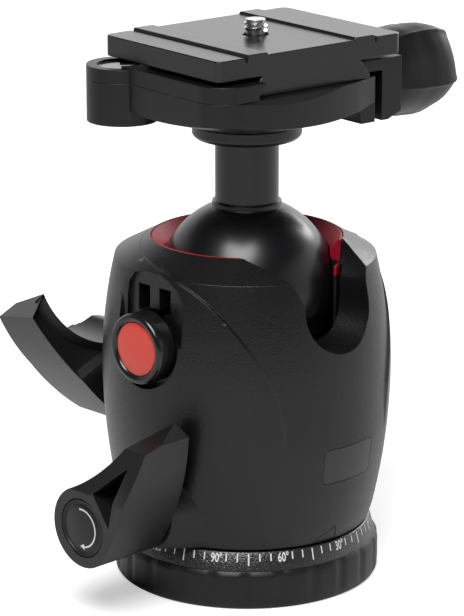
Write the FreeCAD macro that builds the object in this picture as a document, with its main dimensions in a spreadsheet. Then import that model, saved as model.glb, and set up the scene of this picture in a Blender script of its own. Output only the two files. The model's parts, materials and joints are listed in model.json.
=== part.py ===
import FreeCAD, Part
import math
import os
import Sketcher

# Tripod ball head, in millimetres. Z is up, and the origin is the centre of the base's underside.
# The drop notch faces +X, the main lock lever -X, and the pan lever and the selector button -Y.

V = FreeCAD.Vector
doc = FreeCAD.newDocument("ball_head")
dims = doc.addObject("Spreadsheet::Sheet", "dims")

# Driving sizes
SIZES = [
    # rotating base
    ("base_radius", 34.9),
    ("grip_radius", 35.2),
    ("grip_height", 10.2),
    ("flute_count", 24),
    ("flute_depth", 0.5),
    ("flute_radius", 3.2),
    ("base_height", 15.0),
    ("disc_radius", 31.0),
    ("disc_thickness", 7.2),
    ("scale_foot_radius", 34.2),
    ("scale_top_radius", 32.9),
    ("scale_bore_radius", 27.0),
    ("thread_radius", 4.8),
    ("insert_radius", 7.5),
    ("insert_length", 10.0),
    ("spindle_radius", 14.0),
    ("spindle_flange_radius", 24.0),
    ("spindle_flange_thickness", 3.4),
    ("spindle_height", 33.2),
    ("brake_groove_depth", 1.2),
    ("retainer_radius", 18.4),
    ("retainer_thickness", 1.6),
    ("retainer_bolt_radius", 3.0),
    ("base_screw_circle", 19.0),
    ("base_screw_radius", 2.0),
    ("base_screw_head_radius", 3.6),
    ("base_screw_sink", 1.9),
    ("base_screw_head", 1.5),
    ("retainer_bolt_start", 14.0),
    ("retainer_head_radius", 5.2),
    ("retainer_head_thickness", 1.2),
    # housing
    ("foot_height", 15.6),
    ("foot_radius", 32.6),
    ("skirt_height", 18.4),
    ("skirt_radius", 33.6),
    ("belly_height", 57.0),
    ("belly_radius", 38.1),
    ("shoulder_height", 86.6),
    ("shoulder_radius", 34.6),
    ("rim_height", 91.5),
    ("mouth_radius", 25.2),
    ("panel_step", 0.7),
    ("panel_start_height", 42.0),
    ("panel_centre_height", 46.0),
    ("panel_reach", 32.5),
    ("panel_rise", 42.0),
    ("facet_distance", 76.5),
    ("facet_azimuth", 48.1),
    ("facet_elevation", 38.6),
    ("chamber_radius", 26.4),
    ("chamber_floor", 52.0),
    ("chamber_ceiling", 85.6),
    ("piston_bore_radius", 19.8),
    ("cover_thickness", 2.2),
    ("cover_radius", 26.2),
    ("cover_screw_circle", 21.5),
    ("cover_screw_radius", 1.3),
    ("cover_screw_head_radius", 2.4),
    ("cover_screw_head", 1.0),
    ("cover_screw_length", 8.0),
    ("notch_half_width", 8.9),
    ("notch_shoulder", 4.5),
    ("notch_lip_radius", 12.8),
    ("notch_lip_shift", 1.8),
    ("notch_lip_height", 79.2),
    ("notch_top_half_width", 18.0),
    # ball and neck
    ("ball_height", 77.9),
    ("ball_radius", 23.4),
    ("ball_gap", 0.3),
    ("neck_radius", 8.3),
    ("neck_root_radius", 9.1),
    ("neck_root_height", 99.9),
    ("neck_top_height", 117.5),
    ("neck_bore_radius", 4.1),
    ("neck_bore_depth", 14.0),
    ("seat_radius", 26.0),
    ("seat_top_height", 65.0),
    ("upper_seat_height", 79.6),
    ("ring_radius", 25.0),
    ("ring_lip_radius", 24.5),
    ("spring_plate_thickness", 0.7),
    ("spring_bore_radius", 6.0),
    ("spring_radius", 13.0),
    ("cup_bore_radius", 9.0),
    # lock works
    ("piston_radius", 19.5),
    ("piston_bottom", 36.4),
    ("piston_top", 51.2),
    ("cross_bore_radius", 5.4),
    # portrait selector
    ("selector_height", 68.4),
    ("selector_face", 40.5),
    ("selector_radius", 9.3),
    ("selector_disc_radius", 7.0),
    ("selector_disc_thickness", 0.7),
    ("selector_travel", 6.0),
    ("selector_shaft_radius", 3.0),
    ("pocket_half_width", 11.0),
    ("pocket_bottom", 57.6),
    ("pocket_top", 85.6),
    ("pocket_corner", 5.0),
    ("pocket_floor", 34.3),
    ("selector_ring_radius", 24.2),
    ("selector_ring_thickness", 0.9),
    ("selector_ring_depth", 4.0),
    ("stop_width", 3.2),
    ("stop_foot", 82.6),
    ("stop_top", 85.2),
    ("relief_inner", 1.7),
    ("relief_outer", 5.9),
    ("relief_bottom", 76.6),
    ("relief_top", 83.6),
    # label plate
    ("label_width", 17.6),
    ("label_tall", 9.4),
    ("label_height", 37.3),
    ("label_corner", 1.5),
    ("label_thickness", 0.6),
    ("label_gap", 0.15),
    ("label_shift", 0.9),
    # pan lever
    ("pan_height", 25.0),
    ("pan_boss_face", 38.3),
    ("pan_boss_radius", 11.2),
    ("pan_boss_root", 28.0),
    ("pan_boss_root_radius", 17.7),
    ("pan_hub_radius", 10.6),
    ("pan_hub_length", 20.6),
    ("pan_tip_across", 18.4),
    ("pan_tip_up", 24.0),
    ("pan_tip_thickness", 5.8),
    ("pan_tip_front", 15.5),
    ("pan_tip_back", 0.4),
    ("pan_tip_drop", 4.0),
    ("pan_screw_radius", 3.0),
    ("pan_cap_radius", 7.8),
    ("pan_cap_thickness", 2.0),
    ("pan_screw_start", 17.5),
    # main lever
    ("main_height", 43.0),
    ("main_boss_face", 40.6),
    ("main_boss_radius", 14.4),
    ("main_boss_root", 30.0),
    ("main_boss_root_radius", 21.4),
    ("main_hub_radius", 13.2),
    ("main_hub_length", 21.0),
    ("main_tip_across", 22.5),
    ("main_tip_up", 33.3),
    ("main_tip_thickness", 7.4),
    ("main_tip_front", 22.0),
    ("main_tip_back", 7.5),
    ("main_tip_drop", 3.8),
    ("main_lean", 22.0),
    ("main_screw_radius", 4.0),
    ("main_screw_start", 5.0),
    ("dial_radius", 9.8),
    ("dial_length", 6.4),
    ("dial_flute_radius", 1.6),
    ("lever_gap", 0.3),
    ("screw_play", 0.08),
    # clamp
    ("clamp_yaw", 5.5),
    ("collar_radius", 14.3),
    ("collar_thickness", 3.9),
    ("clamp_web", 4.6),
    ("boss_lift", 0.9),
    ("boss_rise", 15.6),
    ("lip_rise", 16.3),
    ("knob_rise", 7.2),
    ("plate_rise", 23.3),
    ("clamp_side", 29.8),
    ("clamp_front", 29.0),
    ("clamp_rear", 25.5),
    ("clamp_corner", 9.0),
    ("clamp_bow", 90.0),
    ("clamp_reach", 46.0),
    ("clamp_dish_rise", 9.0),
    ("clamp_edge_run", 3.4),
    ("clamp_block_depth", 4.6),
    ("clamp_scoop_radius", 6.0),
    ("boss_centre_x", 19.4),
    ("boss_centre_y", 25.6),
    ("boss_radius", 9.3),
    ("level_radius", 6.6),
    ("level_depth", 5.0),
    ("bolt_radius", 4.0),
    ("bolt_head_radius", 7.0),
    ("bolt_head_height", 4.0),
    # jaw and knob
    ("jaw_half_length", 21.0),
    ("jaw_gap", 2.4),
    ("jaw_thickness", 6.8),
    ("jaw_chamfer", 1.8),
    ("knob_radius", 13.6),
    ("knob_neck_radius", 9.6),
    ("knob_length", 29.5),
    ("knob_lobe_count", 5),
    ("knob_lobe_depth", 3.2),
    ("knob_scallop_radius", 14.0),
    ("knob_phase", 18.0),
    ("draw_bolt_radius", 2.5),
    ("pin_radius", 1.5),
    ("pin_spacing", 28.0),
    ("pin_depth", 10.0),
    ("draw_start", 8.0),
    # plate
    ("plate_offset", 2.8),
    ("plate_length", 61.0),
    ("plate_width", 46.8),
    ("plate_slab", 6.0),
    ("dovetail_neck_half", 16.2),
    ("dovetail_foot_half", 19.6),
    ("dovetail_depth", 5.2),
    ("dovetail_land", 1.2),
    ("plate_gap", 0.2),
    ("ridge_outer", 20.9),
    ("ridge_inner", 14.7),
    ("ridge_rise", 0.6),
    ("ridge_groove", 1.6),
    ("plate_shift", 0.9),
    ("plate_corner", 2.2),
    ("camera_screw_radius", 3.15),
    ("camera_neck_radius", 2.5),
    ("camera_neck_rise", 0.2),
    ("camera_screw_rise", 4.0),
    ("camera_head_radius", 8.0),
    ("camera_head_thickness", 2.6),
    ("coin_slot_width", 1.6),
]

# Heights that follow from the sizes above
HEIGHTS = [
    ("collar_top_height", "=neck_top_height + collar_thickness"),
    ("clamp_floor_height", "=collar_top_height + clamp_web"),
    ("boss_bottom", "=collar_top_height + boss_lift"),
    ("boss_top", "=collar_top_height + boss_rise"),
    ("lip_top", "=collar_top_height + lip_rise"),
    ("jaw_bottom", "=collar_top_height"),
    ("knob_height", "=collar_top_height + knob_rise"),
    ("plate_top", "=collar_top_height + plate_rise"),
]

for row, (alias, value) in enumerate(SIZES + HEIGHTS, start=1):
    dims.set(f"A{row}", alias)
    dims.set(f"B{row}", str(value))
    dims.setAlias(f"B{row}", alias)
doc.recompute()

kept = []


def worth(text):
    """The present value of an expression on the sheet."""
    found = dims.evalExpression(text)
    return float(getattr(found, "Value", found))


def bind(thing, **sizes):
    """Ties properties to the sheet; a double underscore stands for a dot."""
    for prop, text in sizes.items():
        thing.setExpression(prop.replace("__", "."), text)
    return thing


def piece(thing, label):
    """Marks an object as a finished sub-part, with the label that names its file."""
    thing.Label = label
    kept.append(thing)
    return thing


def arc_between(a, b, radius, turn):
    """The sketch arc from a to b, with its ends in the sketcher's own order."""
    chord = b - a
    half = chord.Length / 2
    rise = math.sqrt(max(radius * radius - half * half, 0.0))
    left = V(-chord.y, chord.x, 0).normalize()
    centre = (a + b) / 2 + left * rise * turn
    first, last = (a, b) if turn > 0 else (b, a)
    start = math.atan2(first.y - centre.y, first.x - centre.x)
    stop = math.atan2(last.y - centre.y, last.x - centre.x)
    return Part.ArcOfCircle(Part.Circle(centre, V(0, 0, 1), radius), start, stop)


def outline(body, plane, path, lift="0"):
    """A closed sketch in one of the body's own planes, each corner tied to the sheet.

    A step of the path is (x, y), a straight run to that point, or (x, y, radius, turn), an arc to
    it that curves left for a turn of 1 and right for -1.
    """
    sketch = body.newObject("Sketcher::SketchObject", body.Name + "_outline")
    base = [f for f in body.Origin.OriginFeatures if f.Role == plane][0]
    sketch.AttachmentSupport = [(base, "")]
    sketch.MapMode = "FlatFace"
    sketch.setExpression("AttachmentOffset.Base.z", lift)
    spots = [V(worth(step[0]), worth(step[1]), 0) for step in path]
    count = len(path)
    begin = []
    end = []
    for i in range(count):
        a = spots[i]
        b = spots[(i + 1) % count]
        step = path[(i + 1) % count]
        if len(step) == 2:
            sketch.addGeometry(Part.LineSegment(a, b), False)
            begin.append((i, 1))
            end.append((i, 2))
        else:
            radius = worth(step[2])
            sketch.addGeometry(arc_between(a, b, radius, step[3]), False)
            begin.append((i, 1) if step[3] > 0 else (i, 2))
            end.append((i, 2) if step[3] > 0 else (i, 1))
    for i in range(count):
        sketch.addConstraint(Sketcher.Constraint("Coincident", *end[i], *begin[(i + 1) % count]))
    for i, step in enumerate(path):
        for kind, value, text in (("DistanceX", spots[i].x, step[0]), ("DistanceY", spots[i].y, step[1])):
            tie = sketch.addConstraint(Sketcher.Constraint(kind, -1, 1, *begin[i], value))
            sketch.setExpression(f"Constraints[{tie}]", text)
    for i in range(count):
        step = path[(i + 1) % count]
        if len(step) == 4:
            tie = sketch.addConstraint(Sketcher.Constraint("Radius", i, worth(step[2])))
            sketch.setExpression(f"Constraints[{tie}]", step[2])
    return sketch


def turned(name, path):
    """A body of revolution about its own Z axis: the path gives radius and height."""
    body = doc.addObject("PartDesign::Body", name)
    sketch = outline(body, "XZ_Plane", path)
    spin = body.newObject("PartDesign::Revolution", name + "_turn")
    spin.Profile = sketch
    spin.ReferenceAxis = (sketch, ["V_Axis"])
    spin.Angle = 360
    return body


def tube(name, inner, outer, low, high):
    """A plain ring between two radii and two heights."""
    return turned(name, [(inner, low), (outer, low), (outer, high), (inner, high)])


def prism(name, plane, path, length, lift="0", back=False):
    """A straight pad of an outline, from its plane lifted along the plane's normal."""
    body = doc.addObject("PartDesign::Body", name)
    sketch = outline(body, plane, path, lift)
    pad = body.newObject("PartDesign::Pad", name + "_pad")
    pad.Profile = sketch
    pad.Reversed = back
    pad.setExpression("Length", length)
    return body


def cylinder(name, radius, length, x="0", y="0", z="0", turn=None):
    made = doc.addObject("Part::Cylinder", name)
    bind(made, Radius=radius, Height=length)
    return place(made, x, y, z, turn)


def box(name, length, width, tall, x="0", y="0", z="0", turn=None):
    made = doc.addObject("Part::Box", name)
    bind(made, Length=length, Width=width, Height=tall)
    return place(made, x, y, z, turn)


def cone(name, low, high, length, x="0", y="0", z="0", turn=None):
    made = doc.addObject("Part::Cone", name)
    bind(made, Radius1=low, Radius2=high, Height=length)
    return place(made, x, y, z, turn)


def place(thing, x="0", y="0", z="0", turn=None):
    """Puts a thing at a point given by the sheet, turned by a fixed rotation."""
    if turn is not None:
        thing.Placement = FreeCAD.Placement(V(0, 0, 0), turn)
    return bind(thing, Placement__Base__x=x, Placement__Base__y=y, Placement__Base__z=z)


def cut(name, base, *tools):
    """The base less every tool."""
    made = doc.addObject("Part::Cut", name)
    made.Base = base
    made.Tool = tools[0] if len(tools) == 1 else fuse(name + "_tools", *tools)
    return made


def fuse(name, *shapes):
    made = doc.addObject("Part::MultiFuse", name)
    made.Shapes = list(shapes)
    return made


def common(name, *shapes):
    made = doc.addObject("Part::MultiCommon", name)
    made.Shapes = list(shapes)
    return made


def group(name, shapes):
    """Several separate solids of one node."""
    made = doc.addObject("Part::Compound", name)
    made.Links = list(shapes)
    return made


# Fixed directions: each turn carries a piece's own Z to the side it faces.
TO_FRONT = FreeCAD.Rotation(V(1, 0, 0), V(0, 0, 1), V(0, -1, 0), "ZXY")
TO_LEFT = FreeCAD.Rotation(V(0, -1, 0), V(0, 0, 1), V(-1, 0, 0), "ZXY")
TO_KNOB = FreeCAD.Rotation(V(-1, 0, 0), V(0, 0, 1), V(0, 1, 0), "ZXY")


def screws(name, count, circle, start, low, shank, length, head, head_length, tall_side=1):
    """Identical screws on a circle about Z, each a shank and a head; the head is below for -1."""
    made = []
    for i in range(count):
        angle = start + i * 360 / count
        x = f"{circle} * {math.cos(math.radians(angle)):.6f}"
        y = f"{circle} * {math.sin(math.radians(angle)):.6f}"
        stem = cylinder(f"{name}_shank_{i}", shank, length, x, y, low)
        if tall_side > 0:
            cap = cylinder(f"{name}_head_{i}", head, head_length, x, y, f"{low} + {length}")
        else:
            cap = cylinder(f"{name}_head_{i}", head, head_length, x, y, f"{low} - {head_length}")
        made.append(fuse(f"{name}_one_{i}", stem, cap))
    return group(name, made)


# Base: a disc that screws to the tripod, with a fluted grip ring and a degree ring on it
insert = tube("insert_body", "dims.thread_radius", "dims.insert_radius", "0", "dims.insert_length")
piece(insert, "thread_insert")

disc = turned("disc", [
    ("dims.insert_radius", "0"),
    ("dims.disc_radius", "0"),
    ("dims.disc_radius", "dims.grip_height"),
    ("dims.scale_bore_radius", "dims.grip_height"),
    ("dims.scale_bore_radius", "dims.disc_thickness"),
    ("dims.insert_radius", "dims.disc_thickness"),
])
head_sink = screws("sinks", 3, "dims.base_screw_circle", 30, "dims.base_screw_sink", "dims.base_screw_radius",
                   "dims.disc_thickness", "dims.base_screw_head_radius", "dims.base_screw_sink", -1)
base_disc = piece(cut("base_disc_cut", disc, head_sink), "base_disc")

grip_blank = turned("grip_blank", [
    ("dims.disc_radius", "0"),
    ("dims.base_radius - 0.6", "0"),
    ("dims.base_radius", "0.7"),
    ("dims.grip_radius", "dims.grip_height - 1.2"),
    ("dims.grip_radius - 0.7", "dims.grip_height"),
    ("dims.disc_radius", "dims.grip_height"),
])
flutes = []
flute_total = int(worth("dims.flute_count"))
for i in range(flute_total):
    step = 2 * math.pi * i / flute_total
    reach = "(dims.grip_radius + dims.flute_radius - dims.flute_depth)"
    flutes.append(cylinder(f"flute_{i}", "dims.flute_radius", "dims.grip_height * 0.6",
                           f"{reach} * {math.cos(step):.6f}", f"{reach} * {math.sin(step):.6f}",
                           "dims.grip_height * 0.5"))
piece(cut("grip_cut", grip_blank, *flutes), "base_grip_ring")

piece(turned("scale_body", [
    ("dims.scale_bore_radius", "dims.grip_height"),
    ("dims.scale_foot_radius", "dims.grip_height"),
    ("dims.scale_top_radius", "dims.base_height"),
    ("dims.scale_bore_radius", "dims.base_height"),
]), "scale_ring")

brake_low = "dims.pan_height - dims.pan_screw_radius"
brake_high = "dims.pan_height + dims.pan_screw_radius"
spindle = turned("spindle_body", [
    ("dims.retainer_bolt_radius", "dims.insert_length"),
    ("dims.insert_radius", "dims.insert_length"),
    ("dims.insert_radius", "dims.disc_thickness"),
    ("dims.spindle_flange_radius", "dims.disc_thickness"),
    ("dims.spindle_flange_radius", "dims.disc_thickness + dims.spindle_flange_thickness"),
    ("dims.spindle_radius", "dims.disc_thickness + dims.spindle_flange_thickness"),
    ("dims.spindle_radius", brake_low),
    ("dims.spindle_radius - dims.brake_groove_depth", "dims.pan_height"),
    ("dims.spindle_radius", brake_high),
    ("dims.spindle_radius", "dims.spindle_height"),
    ("dims.retainer_bolt_radius", "dims.spindle_height"),
])
spindle_taps = []
for i in range(3):
    angle = math.radians(30 + 120 * i)
    spindle_taps.append(cylinder(f"spindle_tap_{i}", "dims.base_screw_radius",
                                 "dims.disc_thickness + dims.base_screw_sink",
                                 f"dims.base_screw_circle * {math.cos(angle):.6f}",
                                 f"dims.base_screw_circle * {math.sin(angle):.6f}", "dims.base_screw_sink"))
piece(cut("pan_spindle_cut", spindle, *spindle_taps), "pan_spindle")
piece(screws("base_screw_set", 3, "dims.base_screw_circle", 30, "dims.base_screw_sink", "dims.base_screw_radius",
             "dims.disc_thickness", "dims.base_screw_head_radius", "dims.base_screw_head", -1), "base_screws")
piece(tube("retainer_body", "dims.retainer_bolt_radius", "dims.retainer_radius", "dims.spindle_height",
           "dims.spindle_height + dims.retainer_thickness"), "retaining_washer")
bolt_shank = cylinder("retainer_shank", "dims.retainer_bolt_radius",
                      "dims.spindle_height + dims.retainer_thickness - dims.retainer_bolt_start",
                      z="dims.retainer_bolt_start")
bolt_cap = cylinder("retainer_head", "dims.retainer_head_radius", "dims.retainer_head_thickness",
                    z="dims.spindle_height + dims.retainer_thickness")
piece(fuse("retainer_bolt_body", bolt_shank, bolt_cap), "retaining_bolt")

# Housing: a barrel whose notch band is stepped in from the two side panels
lower_bow = ("(((dims.belly_height - dims.skirt_height)^2 + (dims.belly_radius - dims.skirt_radius)^2)"
             " / (2 * (dims.belly_radius - dims.skirt_radius)))")
upper_bow = ("(((dims.shoulder_height - dims.belly_height)^2 + (dims.belly_radius - dims.shoulder_radius)^2)"
             " / (2 * (dims.belly_radius - dims.shoulder_radius)))")
start_radius = (f"(dims.belly_radius - {lower_bow} + sqrt({lower_bow}^2"
                " - (dims.belly_height - dims.panel_start_height)^2))")


def barrel(name, grow):
    """The full outer barrel, larger or smaller by a given amount."""
    return turned(name, [
        ("0", "dims.foot_height"),
        (f"dims.foot_radius + {grow}", "dims.foot_height"),
        (f"dims.skirt_radius + {grow}", "dims.skirt_height"),
        (f"dims.belly_radius + {grow}", "dims.belly_height", lower_bow, 1),
        (f"dims.shoulder_radius + {grow}", "dims.shoulder_height", upper_bow, 1),
        ("dims.mouth_radius", "dims.rim_height"),
        ("0", "dims.rim_height"),
    ])


slim_barrel = turned("slim_barrel", [
    ("0", "dims.foot_height"),
    ("dims.foot_radius", "dims.foot_height"),
    ("dims.skirt_radius", "dims.skirt_height"),
    (start_radius, "dims.panel_start_height", lower_bow, 1),
    ("dims.belly_radius - dims.panel_step", "dims.belly_height"),
    ("dims.shoulder_radius - dims.panel_step", "dims.shoulder_height", upper_bow, 1),
    ("dims.mouth_radius", "dims.rim_height"),
    ("0", "dims.rim_height"),
])
full_barrel = barrel("full_barrel", "0")
panel_plan = prism("panel_plan", "XZ_Plane", [
    ("-dims.belly_radius * 1.2", "0"),
    ("dims.panel_reach", "0"),
    ("dims.panel_reach", "dims.panel_centre_height"),
    ("dims.panel_reach * 0.7071", "dims.panel_centre_height + dims.panel_rise * 0.7071",
     "dims.panel_rise * 1.02", 1),
    ("0", "dims.panel_centre_height + dims.panel_rise", "dims.panel_reach * 0.94", 1),
    ("-dims.belly_radius * 1.2", "dims.rim_height * 1.02"),
], "2.4 * dims.belly_radius", lift="-dims.belly_radius * 1.2")
panels = common("panels", full_barrel, panel_plan)
pan_boss = cone("pan_boss", "dims.pan_boss_root_radius", "dims.pan_boss_radius",
                "dims.pan_boss_face - dims.pan_boss_root", y="-dims.pan_boss_root", z="dims.pan_height",
                turn=TO_FRONT)
main_boss = cone("main_boss", "dims.main_boss_root_radius", "dims.main_boss_radius",
                 "dims.main_boss_face - dims.main_boss_root", x="-dims.main_boss_root", z="dims.main_height",
                 turn=TO_LEFT)
solid_body = fuse("solid_body", slim_barrel, panels, pan_boss, main_boss)

chamber = turned("chamber", [
    ("0", "dims.foot_height - 1"),
    ("dims.cover_radius", "dims.foot_height - 1"),
    ("dims.cover_radius", "dims.foot_height + dims.cover_thickness"),
    ("dims.spindle_radius + dims.lever_gap", "dims.foot_height + dims.cover_thickness"),
    ("dims.spindle_radius + dims.lever_gap", "dims.spindle_height - dims.lever_gap"),
    ("dims.piston_bore_radius", "dims.spindle_height - dims.lever_gap"),
    ("dims.piston_bore_radius", "dims.chamber_floor"),
    ("dims.chamber_radius", "dims.chamber_floor"),
    ("dims.chamber_radius", "dims.chamber_ceiling"),
    ("dims.mouth_radius", "dims.chamber_ceiling"),
    ("dims.mouth_radius", "dims.rim_height + 5"),
    ("0", "dims.rim_height + 5"),
])

# The facet is one flat cut across the rim, between the selector and the notch.
facet_turn = math.radians(worth("dims.facet_azimuth"))
facet_tilt = math.radians(worth("dims.facet_elevation"))
facet_way = V(math.cos(facet_tilt) * math.cos(facet_turn), -math.cos(facet_tilt) * math.sin(facet_turn),
              math.sin(facet_tilt))
facet = cylinder("facet", "dims.belly_radius", "dims.shoulder_radius", f"dims.facet_distance * {facet_way.x:.6f}",
                 f"dims.facet_distance * {facet_way.y:.6f}", f"dims.facet_distance * {facet_way.z:.6f}",
                 FreeCAD.Rotation(V(0, 0, 1), facet_way))


def notch_section(half, middle, near_top, far_top, shift="0"):
    """A U that opens upwards: two quarter arcs, short upright sides and wide leaning ones above."""
    top = "dims.rim_height + 6"
    upright = f"{middle} + dims.notch_shoulder"
    return [
        (f"-{shift}", f"{middle} - {half}", half, 1),
        (f"{half} - {shift}", middle, half, 1),
        (f"{half} - {shift}", upright),
        (far_top, top),
        (f"-({near_top})", top),
        (f"-{half} - {shift}", upright),
        (f"-{half} - {shift}", middle),
    ]


notch_flare = doc.addObject("PartDesign::Body", "notch_flare")
near_section = outline(notch_flare, "YZ_Plane", notch_section(
    "dims.notch_half_width", "dims.ball_height", "dims.notch_top_half_width + 1", "dims.notch_top_half_width"),
    "dims.mouth_radius - 4")
far_section = outline(notch_flare, "YZ_Plane", notch_section(
    "dims.notch_lip_radius", "dims.notch_lip_height", "dims.notch_top_half_width + 4",
    "dims.notch_top_half_width - 3", "dims.notch_lip_shift"), "dims.belly_radius + 3")
flare = notch_flare.newObject("PartDesign::AdditiveLoft", "notch_flare_loft")
flare.Profile = near_section
flare.Sections = [far_section]
flare.Ruled = True
notch_throat = prism("notch_throat", "YZ_Plane", notch_section(
    "dims.notch_half_width", "dims.ball_height", "dims.notch_half_width + 3", "dims.notch_half_width + 3"),
    "dims.belly_radius + 5")

# Pocket of the selector button, the slot of its shaft, and two relief slots above it
pocket = prism("pocket", "XZ_Plane", [
    ("dims.pocket_half_width", "dims.pocket_bottom + dims.pocket_half_width", "dims.pocket_half_width", 1),
    ("dims.pocket_half_width", "dims.pocket_top - dims.pocket_corner"),
    ("dims.pocket_half_width - dims.pocket_corner", "dims.pocket_top", "dims.pocket_corner", 1),
    ("-dims.pocket_half_width + dims.pocket_corner", "dims.pocket_top"),
    ("-dims.pocket_half_width", "dims.pocket_top - dims.pocket_corner", "dims.pocket_corner", 1),
    ("-dims.pocket_half_width", "dims.pocket_bottom + dims.pocket_half_width"),
    ("0", "dims.pocket_bottom", "dims.pocket_half_width", 1),
], "dims.pocket_half_width", lift="dims.pocket_floor")
shaft_play = "(dims.selector_shaft_radius + 0.3)"
shaft_slot = box("shaft_slot", f"2 * {shaft_play}", "dims.pocket_floor / 2",
                 f"2 * {shaft_play} + dims.selector_travel", f"-{shaft_play}", "-dims.pocket_floor - 4",
                 f"dims.selector_height - {shaft_play}")
relief_slots = [
    box(f"relief_{side}", "dims.relief_outer - dims.relief_inner", "dims.pocket_floor - dims.chamber_radius - 2",
        "dims.relief_top - dims.relief_bottom", x, "-dims.pocket_floor - 0.5", "dims.relief_bottom")
    for side, x in (("left", "-dims.relief_outer"), ("right", "dims.relief_inner"))
]

below_foot = cylinder("below_foot", "2 * dims.belly_radius", "dims.foot_height")
pan_bore = cylinder("pan_bore", "dims.pan_screw_radius + dims.screw_play", "2 * dims.belly_radius",
                    z="dims.pan_height", turn=TO_FRONT)
main_bore = cylinder("main_bore", "dims.main_screw_radius + dims.screw_play", "2 * dims.belly_radius",
                     z="dims.main_height",
                     turn=TO_LEFT)
cover_taps = []
for i in range(4):
    angle = math.radians(45 + 90 * i)
    cover_taps.append(cylinder(f"cover_tap_{i}", "dims.cover_screw_radius", "dims.cover_screw_length",
                               f"dims.cover_screw_circle * {math.cos(angle):.6f}",
                               f"dims.cover_screw_circle * {math.sin(angle):.6f}", "dims.foot_height"))

# Label plate: a thin plate that follows the barrel below the notch, in a recess of its own shape
def label_plan(name, grow):
    wide = f"(dims.label_width / 2 + {grow})"
    tall = f"(dims.label_tall / 2 + {grow})"
    round_off = f"(dims.label_corner + {grow})"
    mid = "dims.label_height"
    right = f"dims.label_shift + {wide}"
    left = f"dims.label_shift - {wide}"
    return prism(name, "YZ_Plane", [
        (f"{right} - {round_off}", f"{mid} - {tall}"),
        (right, f"{mid} - {tall} + {round_off}", round_off, 1),
        (right, f"{mid} + {tall} - {round_off}"),
        (f"{right} - {round_off}", f"{mid} + {tall}", round_off, 1),
        (f"{left} + {round_off}", f"{mid} + {tall}"),
        (left, f"{mid} + {tall} - {round_off}", round_off, 1),
        (left, f"{mid} - {tall} + {round_off}"),
        (f"{left} + {round_off}", f"{mid} - {tall}", round_off, 1),
    ], "dims.belly_radius + 2")


label_core = barrel("label_core", "-dims.label_thickness")
label_outer = barrel("label_outer", "1")
label_recess = common("label_recess", label_plan("label_plan_wide", "dims.label_gap"),
                      cut("label_band", label_outer, label_core))
piece(common("label_body", label_plan("label_plan_plate", "0"),
             cut("label_skin", full_barrel, label_core)), "label_plate")

piece(cut("housing_cut", solid_body, chamber, facet, notch_flare, notch_throat, pocket, shaft_slot,
          *relief_slots, below_foot, pan_bore, main_bore, label_recess, *cover_taps), "housing")

cover = tube("cover_blank", "dims.spindle_radius + dims.lever_gap", "dims.cover_radius", "dims.foot_height",
             "dims.foot_height + dims.cover_thickness")
cover_holes = screws("cover_holes", 4, "dims.cover_screw_circle", 45, "dims.foot_height + dims.cover_screw_head",
                     "dims.cover_screw_radius", "dims.cover_thickness", "dims.cover_screw_head_radius",
                     "dims.cover_screw_head", -1)
piece(cut("cover_cut", cover, cover_holes), "bottom_cover")
piece(screws("cover_screw_set", 4, "dims.cover_screw_circle", 45, "dims.foot_height + dims.cover_screw_head",
             "dims.cover_screw_radius", "dims.cover_screw_length - 2 * dims.cover_screw_head",
             "dims.cover_screw_head_radius", "dims.cover_screw_head * 0.9", -1),
      "cover_screws")

# Lock works under the ball: a piston lifted by the main screw's cone, disc springs and a cup
piston_blank = cylinder("piston_blank", "dims.piston_radius", "dims.piston_top - dims.piston_bottom",
                        z="dims.piston_bottom")
cross_bore = cylinder("cross_bore", "dims.cross_bore_radius", "dims.piston_radius + 5", z="dims.main_height",
                      turn=TO_LEFT)
piece(cut("piston_cut", piston_blank, cross_bore), "lift_piston")
spring_rings = []
for i in range(3):
    low = f"dims.piston_top + {i} * dims.spring_plate_thickness"
    spring_rings.append(tube(f"spring_ring_{i}", "dims.spring_bore_radius", "dims.spring_radius", low,
                             f"{low} + dims.spring_plate_thickness"))
piece(group("spring_stack", spring_rings), "disc_springs")

bowl = "(dims.ball_radius + dims.ball_gap)"
seat_bottom = "dims.piston_top + 3 * dims.spring_plate_thickness"


def bowl_radius(height):
    """The bowl's radius at a height."""
    return f"sqrt({bowl}^2 - ({height} - dims.ball_height)^2)"


def bowl_height(radius):
    """The height below the ball's centre where the bowl has a radius."""
    return f"dims.ball_height - sqrt({bowl}^2 - ({radius})^2)"


piece(turned("lower_seat_body", [
    ("dims.cup_bore_radius", seat_bottom),
    ("dims.piston_bore_radius - 0.3", seat_bottom),
    ("dims.piston_bore_radius - 0.3", "dims.chamber_floor + 2"),
    ("dims.seat_radius", "dims.chamber_floor + 3"),
    ("dims.seat_radius", "dims.seat_top_height"),
    (bowl_radius("dims.seat_top_height"), "dims.seat_top_height"),
    ("dims.cup_bore_radius", bowl_height("dims.cup_bore_radius"), bowl, -1),
]), "lower_seat")

ring_gap = box("ring_gap", "60", "dims.notch_half_width + 0.4 + dims.notch_half_width + dims.stop_width + 0.8",
               "60", "0", "-dims.notch_half_width - 0.4", "dims.seat_top_height")
upper_blank = turned("upper_blank", [
    (bowl_radius("dims.upper_seat_height"), "dims.upper_seat_height"),
    ("dims.chamber_radius - 0.1", "dims.upper_seat_height"),
    ("dims.chamber_radius - 0.1", "dims.chamber_ceiling"),
    (bowl_radius("dims.chamber_ceiling"), "dims.chamber_ceiling"),
])
piece(cut("upper_seat_cut", upper_blank, ring_gap), "upper_seat")
red_blank = turned("red_blank", [
    (bowl_radius("dims.chamber_ceiling"), "dims.chamber_ceiling"),
    ("dims.ring_radius", "dims.chamber_ceiling"),
    ("dims.ring_radius", "dims.rim_height - 0.2"),
    ("dims.ring_lip_radius", "dims.rim_height"),
    (bowl_radius("dims.chamber_ceiling + 1.8"), "dims.chamber_ceiling + 1.8"),
])
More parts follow.
